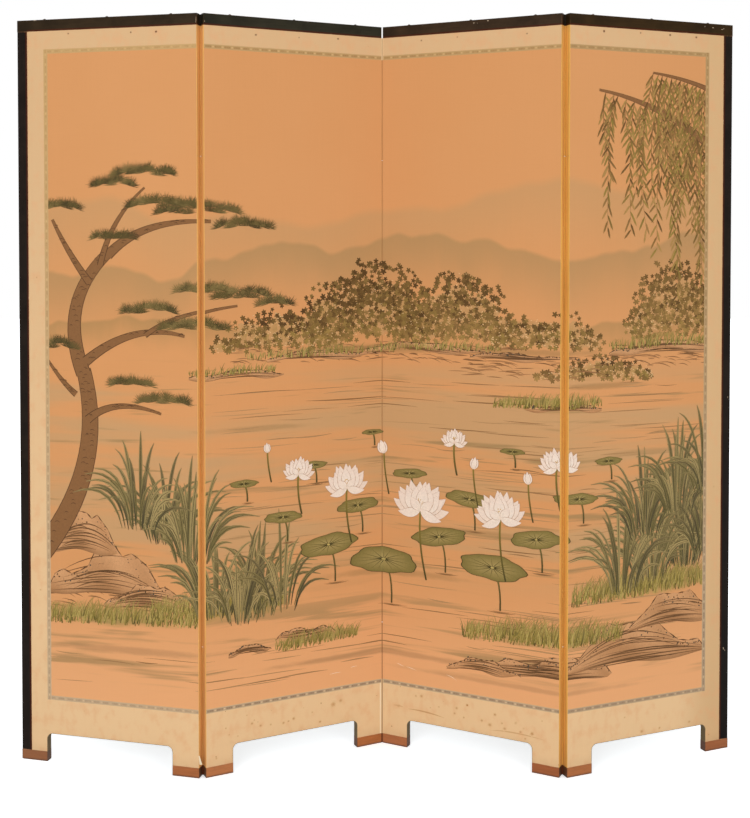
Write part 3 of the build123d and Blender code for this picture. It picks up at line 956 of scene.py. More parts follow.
def endStrip(fold, number, material):  # the cloth round a panel's end, in three lengths
    end, side = foldEnd(fold, number)
    front = folds[fold] == "axis_behind"

    def point(inward, depth, wander=0.0):
        def place(z):
            drift = wander * noise.noise(Vector((z * 60, number * 5.0, fold)))
            pucker = 0.00008 * (1 + noise.noise(Vector((z * 22, depth * 400, fold * 3 + number))))
            y = depth if front else panelThickness - depth
            return end + side * (inward + drift + (pucker if 0.001 < depth < 0.017 else 0)), y
        return place

    path = [point(hinges["lip"], -0.00006, hinges["fray"])] + [point(*place) for place in hinges["round"]]
    bm = bmesh.new()
    for low, high in hingeSections(shoeHeight, panelHeight - railHeight):
        clothGrid(bm, path, low, high, hinges["cutFray"])
    faceOutward(bm)
    middle = Vector((panelWidth / 2, panelThickness / 2, 0.9))
    for face in bm.faces:
        if face.normal.dot(face.calc_center_median() - middle) < 0:
            face.normal_flip()
    thicken(bm, hinges["thick"])
    move(bm, panelPlace(number))
    faceOutward(bm)
    smoothFaces(bm, 50)
    name, node = f"fold_{fold}_strip_on_panel_{number}", f"fold_{fold}_cloth_on_panel_{number}"
    piece = newPiece(name, bm, material, f"panel_{number}", [node])


def foldPoint(fold, number, inward, out):  # a point by a fold, from the corner of a panel that lies on the axis's side
    end, side = foldEnd(fold, number)
    y = panelThickness + out if folds[fold] == "axis_behind" else -out
    return panelPlace(number) @ Vector((end + side * inward, y, 0))


def bridgePath(fold):  # in plan, from one panel's corner over the fold's axis to the other's
    middle = (-hinges["halfGap"], hinges["axisAway"])
    points = [foldPoint(fold, fold, *place) for place in (*hinges["bridge"], middle)]
    return points + [foldPoint(fold, fold + 1, *place) for place in reversed(hinges["bridge"])]


def foldBridge(fold, material):  # the bare cloth that bends between two panels
    points = bridgePath(fold)
    path = [lambda z, place=place: (place.x, place.y) for place in points]
    top = panelHeight - 0.0008 if folds[fold] == "axis_behind" else panelHeight - railHeight
    bm = bmesh.new()
    for low, high in hingeSections(0.0006, top):
        clothGrid(bm, path, low, high, hinges["cutFray"])
    faceOutward(bm)
    thicken(bm, hinges["thick"])
    faceOutward(bm)
    smoothFaces(bm, 60)
    piece = newPiece(f"fold_{fold}_bridge", bm, material)
    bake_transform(piece)


def makeCloths():
    for number in panels:
        silkPiece("picture_silk", number, finishPicture(number))
        silkPiece("border_silk", number, finishBorder(number))
        silkPiece("patterned_band", number, finishBand(number), sheets["bandLift"])
        backPiece(number, finishBackCloth(number))
    for fold in folds:
        for number in (fold, fold + 1):
            endStrip(fold, number, finishHinge(fold, number))
        foldBridge(fold, finishBridge(fold))


makeCloths()
print("cloths laid")

# ---- brushwork: strokes of pigment laid on the picture, drawn on the unfolded screen and then cut at the folds

inks = {
    "pineDark": srgb(66, 54, 24), "pine": srgb(100, 84, 42), "pineLight": srgb(140, 118, 68),
    "leafDark": srgb(78, 52, 20), "leaf": srgb(124, 92, 44), "leafLight": srgb(174, 134, 76),
    "leafSpeck": srgb(224, 184, 132), "leafHaze": srgb(198, 148, 96),
    "reedDark": srgb(52, 48, 30), "reed": srgb(98, 88, 46), "reedLight": srgb(168, 146, 94),
    "grassDark": srgb(76, 66, 26), "grass": srgb(136, 118, 50), "grassLight": srgb(186, 162, 92),
    "bark": srgb(134, 92, 54), "barkDark": srgb(78, 50, 26),
    "rock": srgb(170, 120, 76), "rockLight": srgb(208, 154, 106), "rockDark": srgb(118, 82, 48),
    "line": srgb(92, 62, 34), "moss": srgb(72, 68, 56),
    "ripple": srgb(178, 136, 90), "rippleDark": srgb(136, 98, 58),
    "petal": srgb(240, 226, 210), "petalDeep": srgb(226, 194, 168), "petalLine": srgb(176, 128, 88),
    "petalTip": srgb(226, 170, 146), "heart": srgb(202, 154, 62),
    "lotus": srgb(124, 108, 54), "lotusLight": srgb(170, 146, 88), "lotusDark": srgb(70, 60, 26),
}
layers = {  # how much higher the next strokes lie, after a whole motif or a part of one
    "motif": 0.000022, "rock": 0.000006, "flowers": 0.000004, "part": 0.000003,
    "line": 0.0000025, "detail": 0.0000015, "clump": 0.0000005, "blade": 0.0000002,
}
scatters = {"loose": 0.0000014, "rocks": 0.0000002, "none": 0}  # between the heights that strokes take turns at


def ink(colour):  # a colour by its name among the inks, or as it is
    return inks[colour] if isinstance(colour, str) else colour


def between(first, second, share):
    return [a + (b - a) * share for a, b in zip(ink(first), ink(second))]


def bend(points, share):  # a point on the curve through a start, a pull and an end
    start, pull, end = points
    rest = 1 - share
    return [rest * rest * a + 2 * rest * share * b + share * share * c for a, b, c in zip(start, pull, end)]


def turned(x, z, angle, along, up):  # the point so far along and up from x, z, in a frame turned by the angle
    return x + along * math.cos(angle) - up * math.sin(angle), z + along * math.sin(angle) + up * math.cos(angle)


def overTo(x, z, long, bow, rise):  # a path to the right
    return (x, z), (x + long * 0.5, z + bow), (x + long, z + rise)


def uneven(around, seed, slow, quick):  # a rim that wavers round 1
    return 1 + slow * math.sin(around * 5 + seed) + quick * math.sin(around * 9 + seed * 2)


def clamped(share):
    return min(1, max(0, share))


def taper(share):
    return max(0.06, 1 - share) ** 0.7


def lens(share):
    return max(0.08, math.sin(math.pi * share)) ** 0.8


def even(share):
    return 1


def narrowing(wide, thin):
    return lambda share: 1 + (thin / wide - 1) * share


def petalWidth(share):
    return max(0.05, math.sin(math.pi * min(1, share * 0.96 + 0.02) ** 0.85))


class Brush:
    def __init__(self, seed, layer=0.00006):
        self.luck = random.Random(seed)
        self.layer = layer
        self.scatter = scatters["loose"]
        self.count = 0
        self.sheets = []
        self.startSheet()

    def startSheet(self):
        self.mesh = bmesh.new()
        self.ink = self.mesh.verts.layers.float_color.new("ink")

    def endSheet(self):  # operators slow down on a large mesh, so strokes are put by in small ones
        sheet = bpy.data.meshes.new("strokes")
        self.mesh.to_mesh(sheet)
        self.mesh.free()
        self.sheets.append(sheet)
        self.startSheet()

    def gather(self):
        self.endSheet()
        whole = bmesh.new()
        for sheet in self.sheets:
            whole.from_mesh(sheet)
            bpy.data.meshes.remove(sheet)
        self.mesh.free()
        return whole

    def raiseLayer(self, step="motif"):  # later strokes lie over earlier ones
        self.layer += layers[step]

    def height(self):  # loose strokes take turns at a few heights; with no scatter they keep to the layer
        self.count += 1
        if self.count % 100 == 0:
            self.endSheet()
        return self.layer + self.scatter * (self.count % 20)

    def circle(self, sides, **settings):
        return bmesh.ops.create_circle(self.mesh, cap_ends=True, radius=1, segments=sides, **settings)["verts"]

    def grid(self, across, up):  # corners with their shares across and up, both from 0 to 1
        made = bmesh.ops.create_grid(self.mesh, x_segments=across, y_segments=up, size=1)["verts"]
        return [(vert, (vert.co.x + 1) / 2, (vert.co.y + 1) / 2) for vert in made]

    def disc(self, sides, place, core, rim):  # its colour runs out to the rim
        level = self.height()
        for vert in self.circle(sides, cap_tris=True):
            around, out = math.atan2(vert.co.y, vert.co.x), vert.co.to_2d().length
            x, z = place(vert.co, around, out)
            vert.co = (x, -level, z)
            vert[self.ink] = between(core, rim, out)

    def dab(self, x, z, length, width, turn, colour, tip=None, sides=6):  # from its foot at x, z towards turn
        angle = math.radians(turn)
        middle = (x + math.cos(angle) * length / 2, -self.height(), z + math.sin(angle) * length / 2)
        place = Matrix.Translation(middle) @ Matrix.Rotation(math.pi / 2 - angle, 4, "Y")
        place = place @ Matrix.Diagonal((width / 2, 1, length / 2, 1)) @ Matrix.Rotation(math.pi / 2, 4, "X")
        for vert in self.circle(sides, matrix=place):
            along = (vert.co.x - x) * math.cos(angle) + (vert.co.z - z) * math.sin(angle)
            vert[self.ink] = between(colour, tip or colour, clamped(along / length))

    def sweep(self, path, width, colour, tip=None, steps=5, profile=taper):  # a stroke of changing width on a curve
        level = self.height()
        for vert, share, _ in self.grid(steps, 1):
            side = vert.co.y
            x, z = bend(path, share)
            forward = share < 0.98
            nextX, nextZ = bend(path, share + 0.02 if forward else share - 0.02)
            runX, runZ = (nextX - x, nextZ - z) if forward else (x - nextX, z - nextZ)
            run = math.hypot(runX, runZ) or 1
            reach = side * width / 2 * profile(share)
            vert.co = (x - runZ / run * reach, -level, z + runX / run * reach)
            vert[self.ink] = between(colour, tip or colour, share)

    def outlined(self, path, width, rim, line, colour, tip, steps, profile):  # a stroke on a wider one
        self.raiseLayer("line")
        self.sweep(path, width + rim, line, line, steps, profile)
        self.raiseLayer("line")
        self.sweep(path, width, colour, tip, steps, profile)
        self.raiseLayer("detail")


def mixedInk(luck, *names):
    return between(*luck.sample(names, 2), luck.random() * 0.5)


groves = {  # rows of far bushes: start, end, height of the foot, how tall, how many clumps
    "shore": [
        (0.50, 0.80, 1.000, 0.110, 13), (0.72, 1.06, 1.012, 0.190, 19), (0.98, 1.27, 1.018, 0.155, 16),
        (1.22, 1.47, 1.006, 0.100, 11), (1.56, 1.84, 1.030, 0.170, 14), (1.34, 1.62, 0.935, 0.060, 12),
    ],
    "leafShare": 10000,
    "leafSize": (0.0048, 0.0078),
    "leaves": 5,
    "specks": 10,
    "speck": (0.0046, 0.0020),
}


def paintBlob(brush, x, z, wide, tall, core, rim, sides=26, spin=0):  # an uneven patch, turned by up to spin
    seed = brush.luck.uniform(0, 6)
    slope = math.radians(brush.luck.uniform(0, spin)) if spin else 0.0

    def place(corner, around, out):
        rough = uneven(around, seed, 0.13, 0.10)
        return turned(x, z, slope, corner.x * wide * rough, corner.y * tall * rough)

    brush.disc(sides, place, core, rim)


def paintTuft(brush, x, z, size, turn, colour):  # leaves round a point, each with a blunt end
    place = Matrix.Translation((x, -brush.height(), z)) @ Matrix.Rotation(math.radians(turn), 4, "Y")
    flat = Matrix.Diagonal((size, 1, size, 1)) @ Matrix.Rotation(math.pi / 2, 4, "X")
    for index, vert in enumerate(brush.circle(3 * groves["leaves"])):
        if index % 3 == 2:  # between two leaves
            vert.co *= 0.5
        vert.co = place @ flat @ vert.co
        vert[brush.ink] = colour


def paintGroves(brush):
    luck = brush.luck

    def inClump(x, z, wide, high, fill):  # a chance place in a clump; fill is 0.5 where all parts are as likely
        around, out = luck.uniform(0, 2 * math.pi), luck.random() ** fill
        dx, dz = math.cos(around) * out * wide, math.sin(around) * out * high
        return x + dx, z + dz, dz

    for start, end, foot, tall, clumps in groves["shore"]:
        for index in range(clumps):
            share = (index + luck.random()) / clumps
            x = start + (end - start) * share
            crown = tall * (0.45 + 0.65 * math.sin(math.pi * share)) * luck.uniform(0.66, 1.1)
            wide, high = crown * luck.uniform(0.30, 0.40) + 0.006, crown * 0.44
            middle = foot + crown * 0.52
            dark = between("leafDark", "leaf", luck.uniform(0.0, 0.7))
            bright = between("leafLight", "grass", luck.uniform(0.0, 0.6))
            tone = luck.uniform(0.12, 0.56)
            core = between(bright, "leafHaze", 0.35)
            brush.scatter = scatters["none"]
            paintBlob(brush, x, middle - high * 0.15, wide * 0.72, high * 0.66, core, "leafHaze")
            brush.scatter = scatters["loose"]
            brush.raiseLayer("clump")
            for _ in range(int(8 + groves["leafShare"] * wide * high)):
                px, pz, dz = inClump(x, middle, wide * 1.12, high * 1.10, 0.45)
                shade = between(dark, bright, clamped(tone - 0.30 * dz / high + luck.uniform(-0.30, 0.30)))
                paintTuft(brush, px, pz, luck.uniform(*groves["leafSize"]), luck.uniform(0, 72), shade)
            for _ in range(groves["specks"]):
                px, pz, _ = inClump(x, middle, wide * 0.95, high * 0.95, 0.5)
                brush.dab(px, pz, *groves["speck"], luck.uniform(-40, 40), "leafSpeck", sides=5)


def paintRock(brush, start, end, foot, tall, slant=0.0, strokes=7):
    luck = brush.luck
    seed = luck.uniform(0, 100)

    def crest(share):
        wobble = 0.72 + 0.2 * math.sin(seed + share * 7.3) + 0.12 * math.sin(seed * 2 + share * 17.1)
        wobble += 0.05 * math.sin(seed * 3 + share * 41)
        return tall * wobble * max(0.0, math.sin(math.pi * share)) ** 0.55 + 0.002

    def place(share, rise):
        sag = 0.006 * math.sin(seed + share * 9) * (1 - rise)
        return start + (end - start) * share + slant * rise * tall, foot + sag + rise * crest(share)

    level = brush.height()
    for vert, share, rise in brush.grid(26, 5):
        x, z = place(share, rise)
        vert.co = (x, -level, z)
        light = 0.25 + 0.6 * rise + 0.25 * math.sin(seed + share * 13 + rise * 4)
        shade = between("rock", "rockLight", clamped(light))
        vert[brush.ink] = between(shade, "rockDark", max(0, 0.45 - rise * 2.4))
    brush.raiseLayer("part")
    for index in range(strokes):
        rise = 1 - index / strokes
        low, high = sorted((luck.uniform(0.02, 0.3), luck.uniform(0.55, 0.98)))
        path = place(low, rise * 0.9), place((low + high) / 2, min(1, rise * 1.08)), place(high, rise * 0.92)
        brush.sweep(path, luck.uniform(0.0016, 0.0034), "rockDark", "line", 8, lens)
    edge = [place(index / 14, 1) for index in range(15)]
    for first, second in zip(edge, edge[1:]):
        middle = [(p + q) / 2 + luck.uniform(-0.001, 0.001) for p, q in zip(first, second)]
        brush.sweep((first, middle, second), luck.uniform(0.0018, 0.0034), "line", None, 2, lens)
    for _ in range(int(60 * (end - start) / 0.3)):
        x, z = place(luck.random(), luck.uniform(0.55, 1.0))
        size, turn = luck.uniform(0.002, 0.0052), luck.uniform(0, 180)
        brush.dab(x, z, size, size * 0.8, turn, "moss" if luck.random() < 0.6 else "line", sides=5)


rocks = [  # start, end, foot, height, slant
    (1.20, 1.50, 0.232, 0.060, 0.2), (1.40, 1.80, 0.252, 0.115, -0.1), (1.56, 1.84, 0.335, 0.085, 0.0),
    (1.10, 1.29, 0.222, 0.034, 0.1), (0.64, 0.80, 0.300, 0.030, 0.0), (0.52, 0.63, 0.282, 0.020, 0.0),
    (0.05, 0.36, 0.420, 0.130, 0.15), (0.05, 0.25, 0.520, 0.110, 0.1), (0.22, 0.46, 0.395, 0.060, 0.0),
    (0.62, 0.92, 0.982, 0.020, 0.0), (0.88, 1.20, 0.996, 0.022, 0.0), (1.16, 1.42, 0.985, 0.018, 0.0),
    (1.50, 1.82, 1.000, 0.030, 0.0), (1.30, 1.48, 0.868, 0.016, 0.0), (0.44, 0.66, 0.945, 0.018, 0.0),
]
banks = {  # dry strokes of earth along the shores: start, end, low, high, how many
    "shores": [
        (0.52, 1.30, 0.972, 1.016, 120), (1.10, 1.50, 0.940, 0.998, 60),
        (1.48, 1.82, 0.968, 1.020, 60), (0.05, 0.40, 0.385, 0.440, 60),
    ],
    "long": (0.012, 0.060),
    "thick": (0.0012, 0.0030),
}


def paintBanks(brush):
    luck = brush.luck
    for start, end, low, high, count in banks["shores"]:
        for _ in range(count):
            long = luck.uniform(*banks["long"])
            x, z = luck.uniform(start, end - long), luck.uniform(low, high)
            rise = luck.uniform(-0.25, 0.10) * long
            shade = mixedInk(luck, "rock", "rockDark", "bark")
            path = overTo(x, z, long, abs(rise) * 0.4 + 0.001, rise)
            brush.sweep(path, luck.uniform(*banks["thick"]), shade, None, 5, lens)


def paintRocks(brush):
    paintBanks(brush)
    brush.raiseLayer()
    brush.scatter = scatters["rocks"]
    for start, end, foot, tall, slant in rocks:
        paintRock(brush, start, end, foot, tall, slant, 15 if tall > 0.05 else 6)
        brush.raiseLayer("rock")
    brush.scatter = scatters["loose"]


grasses = [  # start, end, foot, blade length, how many
    (0.05, 0.46, 0.360, 0.048, 460), (0.34, 0.66, 0.392, 0.052, 440), (1.14, 1.54, 0.316, 0.052, 520),
    (1.40, 1.80, 0.425, 0.060, 560), (0.56, 0.96, 0.992, 0.022, 170), (1.22, 1.48, 0.878, 0.030, 240),
    (1.50, 1.80, 1.018, 0.028, 190), (0.64, 0.86, 0.284, 0.036, 220), (0.92, 1.24, 1.004, 0.022, 150),
    (0.44, 0.64, 0.956, 0.022, 100),
]


def paintGrass(brush):
    luck = brush.luck
    for start, end, foot, long, count in grasses:
        for _ in range(count):
            share = luck.random()
            x = start + (end - start) * share
            z = foot + luck.uniform(-0.25, 0.2) * long - 0.3 * long * math.cos(math.pi * share) * 0.4
            reach = long * luck.uniform(0.55, 1.15) * (0.55 + 0.45 * math.sin(math.pi * share))
            lean = luck.uniform(-0.35, 0.75) * reach
            path = ((x, z), (x + lean * 0.25, z + reach * 0.7), (x + lean, z + reach))
            shade = mixedInk(luck, "grassDark", "grass", "grass", "grassLight")
            brush.sweep(path, luck.uniform(0.0016, 0.0028), shade, between(shade, "grassLight", 0.5), 3)


irises = {
    "clumps": [  # middle of the foot, and how many leaves
        (0.60, 0.372, 44), (0.49, 0.385, 34), (0.55, 0.360, 30), (0.66, 0.380, 18), (1.72, 0.480, 60),
        (1.62, 0.455, 50), (1.54, 0.430, 34), (1.78, 0.500, 30), (0.38, 0.560, 46), (0.44, 0.520, 44),
        (0.31, 0.590, 30), (1.60, 0.560, 44), (1.70, 0.610, 46), (1.79, 0.650, 34),
    ],
    "long": (0.11, 0.29),
    "width": (0.006, 0.0095),
}


def paintIrises(brush):
    luck = brush.luck
    brush.scatter = scatters["none"]
    for x, z, count in irises["clumps"]:
        for index in range(count):
            fan = (index / (count - 1) - 0.5) * 2 + luck.uniform(-0.15, 0.15)
            long = luck.uniform(*irises["long"]) * (1 - 0.35 * abs(fan))
            foot = (x + fan * 0.035 + luck.uniform(-0.01, 0.01), z + luck.uniform(-0.012, 0.006))
            tip = (foot[0] + fan * long * 0.75, foot[1] + long * (0.95 - 0.45 * abs(fan)))
            pull = (foot[0] + fan * long * 0.16, foot[1] + long * 0.72)
            shade = mixedInk(luck, "reedDark", "reed", "reed", "reedLight")
            width = luck.uniform(*irises["width"])
            brush.raiseLayer("blade")
            brush.sweep((foot, pull, tip), width, shade, between(shade, "reedLight", 0.6), 7, lens)
            brush.raiseLayer("blade")
            brush.sweep((foot, pull, tip), width * 0.18, "reedDark", "leafDark", 5, lens)


ripples = {  # start, end, low, high, how many
    "fields": [(0.46, 1.80, 0.455, 0.93, 150), (0.05, 1.10, 0.20, 0.28, 20), (0.94, 1.72, 0.27, 0.42, 34)],
    "long": (0.05, 0.22),
    "thick": (0.0012, 0.0032),
}


def paintRipples(brush):
    luck = brush.luck
    for start, end, low, high, count in ripples["fields"]:
        for _ in range(count):
            long = luck.uniform(*ripples["long"])
            x, z = luck.uniform(start, end - long), luck.uniform(low, high)
            dip = luck.uniform(-0.006, 0.006)
            shade = mixedInk(luck, "ripple", "ripple", "rippleDark")
            path = overTo(x, z, long, dip, luck.uniform(-0.003, 0.003))
            brush.sweep(path, luck.uniform(*ripples["thick"]), shade, None, 7, lens)


lotusPond = {
    "leaves": [  # middle, width, tilt, how flat it is seen
        (0.78, 0.520, 0.150, 6, 0.34), (0.93, 0.468, 0.175, -5, 0.36), (1.08, 0.540, 0.140, 8, 0.32),
        (1.22, 0.480, 0.165, -4, 0.36), (0.86, 0.610, 0.110, 4, 0.30), (1.16, 0.640, 0.120, -6, 0.30),
        (1.33, 0.560, 0.125, 6, 0.34), (0.66, 0.600, 0.095, 0, 0.28), (1.00, 0.690, 0.090, 4, 0.26),
        (1.42, 0.660, 0.095, -3, 0.28), (0.74, 0.720, 0.070, 2, 0.26), (1.50, 0.745, 0.072, 0, 0.26),
        (1.27, 0.765, 0.062, 0, 0.24), (0.90, 0.790, 0.055, 0, 0.24), (0.56, 0.690, 0.070, 0, 0.26),
    ],
    "flowers": [  # foot, size, lean
        (0.83, 0.655, 0.062, 4), (1.03, 0.600, 0.078, -8), (1.24, 0.600, 0.068, 10),
        (0.70, 0.700, 0.044, -6), (1.38, 0.735, 0.046, 8), (1.12, 0.775, 0.036, 0),
    ],
    "buds": [(0.93, 0.735, 0.034, 12), (1.17, 0.715, 0.030, -10), (1.31, 0.690, 0.030, 6), (0.62, 0.760, 0.024, 5)],
    "petals": ((7, 1.0, 78, 0.30), (6, 0.94, 56, 0.60), (5, 0.80, 34, 1.0)),  # each row's count, reach, fan, paleness
    "veins": 15,
}


def paintLotusLeaf(brush, x, z, wide, tilt, flat):
    luck = brush.luck
    turn = math.radians(tilt)
    seed = luck.uniform(0, 9)

    def place(around, out):
        wave = uneven(around, seed, 0.05, 0.03)
        u, v = math.cos(around) * out * wave * wide / 2, math.sin(around) * out * wave * wide * flat / 2
        return turned(x, z, turn, u, v)

    for grow, rim, core in ((1.03, "lotusDark", "lotusDark"), (1.0, "lotus", "lotusLight")):
        brush.disc(40, lambda corner, around, out: place(around, out * grow), core, rim)
        brush.raiseLayer("part")
    for index in range(lotusPond["veins"]):
        around = index / lotusPond["veins"] * 2 * math.pi + luck.uniform(-0.08, 0.08)
        path = place(around, 0.06), place(around + 0.04, 0.5), place(around, 0.93)
        brush.sweep(path, 0.0017, "lotusDark", "lotus", 4)
    brush.raiseLayer("part")
    brush.dab(x - wide * 0.03, z, wide * 0.06, wide * 0.03, 0, "grassLight", sides=8)


def paintPetal(brush, x, z, long, wide, turn, curl, pale):
    angle = math.radians(turn)
    path = ((x, z), turned(x, z, angle, long * 0.5, curl), turned(x, z, angle, long, 0))
    foot, tip = between("petalDeep", "petal", pale), between("petal", "petalTip", 0.25)
    brush.outlined(path, wide, 0.0020, "petalLine", foot, tip, 9, petalWidth)
    for offset in (-0.25, 0.0, 0.25):
        vein = [turned(px, pz, angle, 0, wide * offset * k) for (px, pz), k in zip(path, (0.4, 1.0, 0.3))]
        vein[2] = bend(vein, 0.86)
        brush.sweep(vein, 0.0009, "petalDeep", "petal", 4)


def paintLotusFlower(brush, x, z, size, lean):
    luck = brush.luck
    stem = ((x + size * 0.2, z - size * 2.2), (x - size * 0.1, z - size), (x, z))
    brush.sweep(stem, 0.0042, "lotusDark", "grass", 8, even)
    for count, reach, fan, pale in lotusPond["petals"]:
        for index in sorted(range(count), key=lambda i: -abs(i - (count - 1) / 2)):
            off = (index / (count - 1) - 0.5) * 2
            turn = 90 + lean - off * fan + luck.uniform(-4, 4)
            long = size * reach * (1 - 0.10 * abs(off)) * luck.uniform(0.94, 1.05)
            paintPetal(brush, x + off * size * 0.08, z, long, size * 0.40, turn, -off * size * 0.16, pale)
    for _ in range(9):
        px, pz = x + luck.uniform(-0.1, 0.1) * size, z + size * luck.uniform(0.16, 0.34)
        brush.dab(px, pz, 0.004, 0.0022, luck.uniform(60, 120), "heart", sides=5)
    for off in (-1, -0.45, 0.45, 1):
        long = size * (0.78 if abs(off) > 0.6 else 0.5)
        paintPetal(brush, x, z + size * 0.03, long, size * 0.30, 90 + lean - off * 106, -off * size * 0.14, 0.9)


def paintLotus(brush):
    brush.scatter = scatters["none"]
    for x, z, wide, tilt, flat in sorted(lotusPond["leaves"], key=lambda leaf: -leaf[1]):
        footX, footZ = x + wide * 0.12, z - wide * 0.62
        stem = ((footX, footZ), (x + wide * 0.14, z - wide * 0.2), (x, z))
        brush.sweep(stem, 0.0038, "lotusDark", "lotus", 6, even)
        for spread in (0.5, 0.8):  # ripples round the stem's foot
            level = footZ - 0.004 * spread
            start, end = footX - wide * 0.25 * spread, footX + wide * 0.3 * spread
            path = ((start, level), (footX, level - 0.006 * spread), (end, level))
            brush.sweep(path, 0.0016, "rippleDark", None, 7, lens)
        paintLotusLeaf(brush, x, z, wide, tilt, flat)
    brush.raiseLayer("flowers")
    level = brush.layer
    for x, z, size, lean in lotusPond["flowers"]:
        brush.layer = level
        paintLotusFlower(brush, x, z, size, lean)
    for x, z, size, lean in lotusPond["buds"]:
        brush.layer = level
        stem = ((x + size * 0.4, z - size * 3), (x, z - size * 1.2), (x, z))
        brush.sweep(stem, 0.0034, "lotusDark", "grass", 6, even)
        for off in (-1, 1, 0):
            long = size * (1 - 0.12 * abs(off))
            paintPetal(brush, x, z, long, size * 0.42, 90 + lean - off * 14, -off * size * 0.1, 0.8)


pineTree = {
    "limbs": [  # start, pull, end, width at the foot, width at the tip
        ((0.045, 0.50), (0.235, 0.72), (0.170, 0.96), 0.052, 0.036),
        ((0.170, 0.95), (0.100, 1.12), (0.235, 1.24), 0.036, 0.024),
        ((0.235, 1.235), (0.320, 1.32), (0.480, 1.315), 0.022, 0.007),
        ((0.186, 1.17), (0.130, 1.24), (0.090, 1.32), 0.016, 0.006),
        ((0.176, 0.98), (0.300, 1.08), (0.430, 1.045), 0.022, 0.006),
        ((0.180, 0.84), (0.250, 0.90), (0.370, 0.86), 0.018, 0.005),
        ((0.330, 1.045), (0.400, 1.10), (0.545, 1.115), 0.010, 0.004),
        ((0.215, 1.21), (0.240, 1.32), (0.330, 1.395), 0.013, 0.004),
        ((0.150, 0.90), (0.110, 0.93), (0.070, 0.99), 0.012, 0.004),
    ],
    "pads": [  # middle and spread of each cushion of needles
        (0.455, 1.335, 0.085, 0.020), (0.360, 1.350, 0.065, 0.018), (0.560, 1.300, 0.060, 0.014),
        (0.100, 1.345, 0.050, 0.020), (0.330, 1.425, 0.070, 0.018), (0.250, 1.400, 0.050, 0.014),
        (0.440, 1.062, 0.070, 0.018), (0.340, 1.100, 0.060, 0.016), (0.560, 1.135, 0.065, 0.016),
        (0.470, 1.150, 0.050, 0.012), (0.375, 0.885, 0.060, 0.016), (0.290, 0.925, 0.045, 0.012),
        (0.100, 1.010, 0.045, 0.016), (0.250, 1.275, 0.045, 0.012), (0.640, 1.115, 0.035, 0.010),
    ],
    "needles": 17,
    "needleLength": (0.018, 0.027),
}


def paintPine(brush):
    luck = brush.luck
    brush.scatter = scatters["none"]
    for start, pull, end, wide, thin in pineTree["limbs"]:
        path = (start, pull, end)
        brush.outlined(path, wide, 0.0036, "barkDark", "bark", "bark", 16, narrowing(wide, thin))
        for _ in range(int(wide * 900)):  # scales of bark
            share = luck.random()
            x, z = bend(path, share)
            reach = (wide + (thin - wide) * share) * 0.36
            x, z = x + luck.uniform(-reach, reach), z + luck.uniform(-reach, reach)
            curl = luck.uniform(0.003, 0.008)
            brush.sweep(((x - curl, z), (x, z + curl), (x + curl, z)), 0.0016, "barkDark", None, 4, lens)
    brush.scatter = scatters["loose"]
    brush.raiseLayer("rock")
    last = pineTree["needles"] - 1
    for x, z, wide, tall in pineTree["pads"]:
        tufts = int(wide * 260)
        for index in range(tufts):
            share = index / max(1, tufts - 1) * 2 - 1
            px = x + share * wide + luck.uniform(-0.006, 0.006)
            pz = z + tall * (1 - share * share) * luck.uniform(-0.2, 1.0)
            shade = mixedInk(luck, "pineDark", "pine", "pine", "pineLight")
            for needle in range(pineTree["needles"]):
                turn = 90 + (needle / last - 0.5) * 165 - share * 22 + luck.uniform(-3, 3)
                long = luck.uniform(*pineTree["needleLength"])
                brush.dab(px, pz, long, 0.0016, turn, between(shade, "pineDark", 0.4), shade, 4)


willow = {
    "limbs": [  # start, pull, end, width at the foot, width at the tip
        ((1.83, 1.47), (1.66, 1.60), (1.47, 1.625), 0.022, 0.005),
        ((1.83, 1.62), (1.74, 1.66), (1.62, 1.672), 0.012, 0.004),
    ],
    "strands": 36,
    "reach": (0.16, 0.52),
    "leaf": (0.028, 0.042),
}


def paintWillow(brush):
    luck = brush.luck
    brush.scatter = scatters["none"]
    for *path, wide, thin in willow["limbs"]:
        brush.sweep(path, wide + 0.003, "barkDark", None, 12, narrowing(wide, thin))
        brush.raiseLayer("part")
        brush.sweep(path, wide, "bark", None, 12, narrowing(wide, thin))
    brush.scatter = scatters["loose"]
    for index in range(willow["strands"]):
        share = (index + luck.random()) / willow["strands"]
        x, z = bend(willow["limbs"][index % 2][:3], share)
        drop = luck.uniform(*willow["reach"]) * (1.05 - 0.45 * share)
        sway = luck.uniform(-0.05, 0.03)
        path = ((x, z), (x - 0.02, z - drop * 0.3), (x + sway, z - drop))
        brush.sweep(path, 0.0018, "bark", "leaf", 9)
        count = int(drop / 0.0105)
        for step in range(count):
            x, z = bend(path, (step + 0.6) / count)
            side = 1 if step % 2 else -1
            turn = -90 + side * luck.uniform(14, 38) + (6 if sway > 0 else -6)
            shade = mixedInk(luck, "leafDark", "leaf", "grass", "leafLight")
            brush.dab(x, z, luck.uniform(*willow["leaf"]), 0.0052, turn, shade, between(shade, "leafLight", 0.4), 6)


strokeBody = 0.00004
foldStroke = {"reach": 0.0015, "steps": 6, "lift": 0.0004}


def solidStrokes(piece):
    body = piece.modifiers.new("body", "SOLIDIFY")
    body.thickness = strokeBody
    body.offset = -1


def cutTo(bm, start, low, high, bottom, top):
    cutAcross(bm, (start + low, 0, 0), (-1, 0, 0), True)
    cutAcross(bm, (start + high, 0, 0), (1, 0, 0), True)
    cutAcross(bm, (0, 0, bottom), (0, 0, -1), True)
    cutAcross(bm, (0, 0, top), (0, 0, 1), True)


def cutToPicture(source, number, material, name):
    bm = source.copy()
    start = (number - 1) * panelWidth
    cutTo(bm, start, *panels[number]["picture"], *pictureHeights)
    move(bm, panelPlace(number) @ Matrix.Translation((-start, 0, 0)))
    piece = newPiece(name, bm, material, f"panel_{number}")
    solidStrokes(piece)
    print(name, len(piece.data.polygons), "faces")


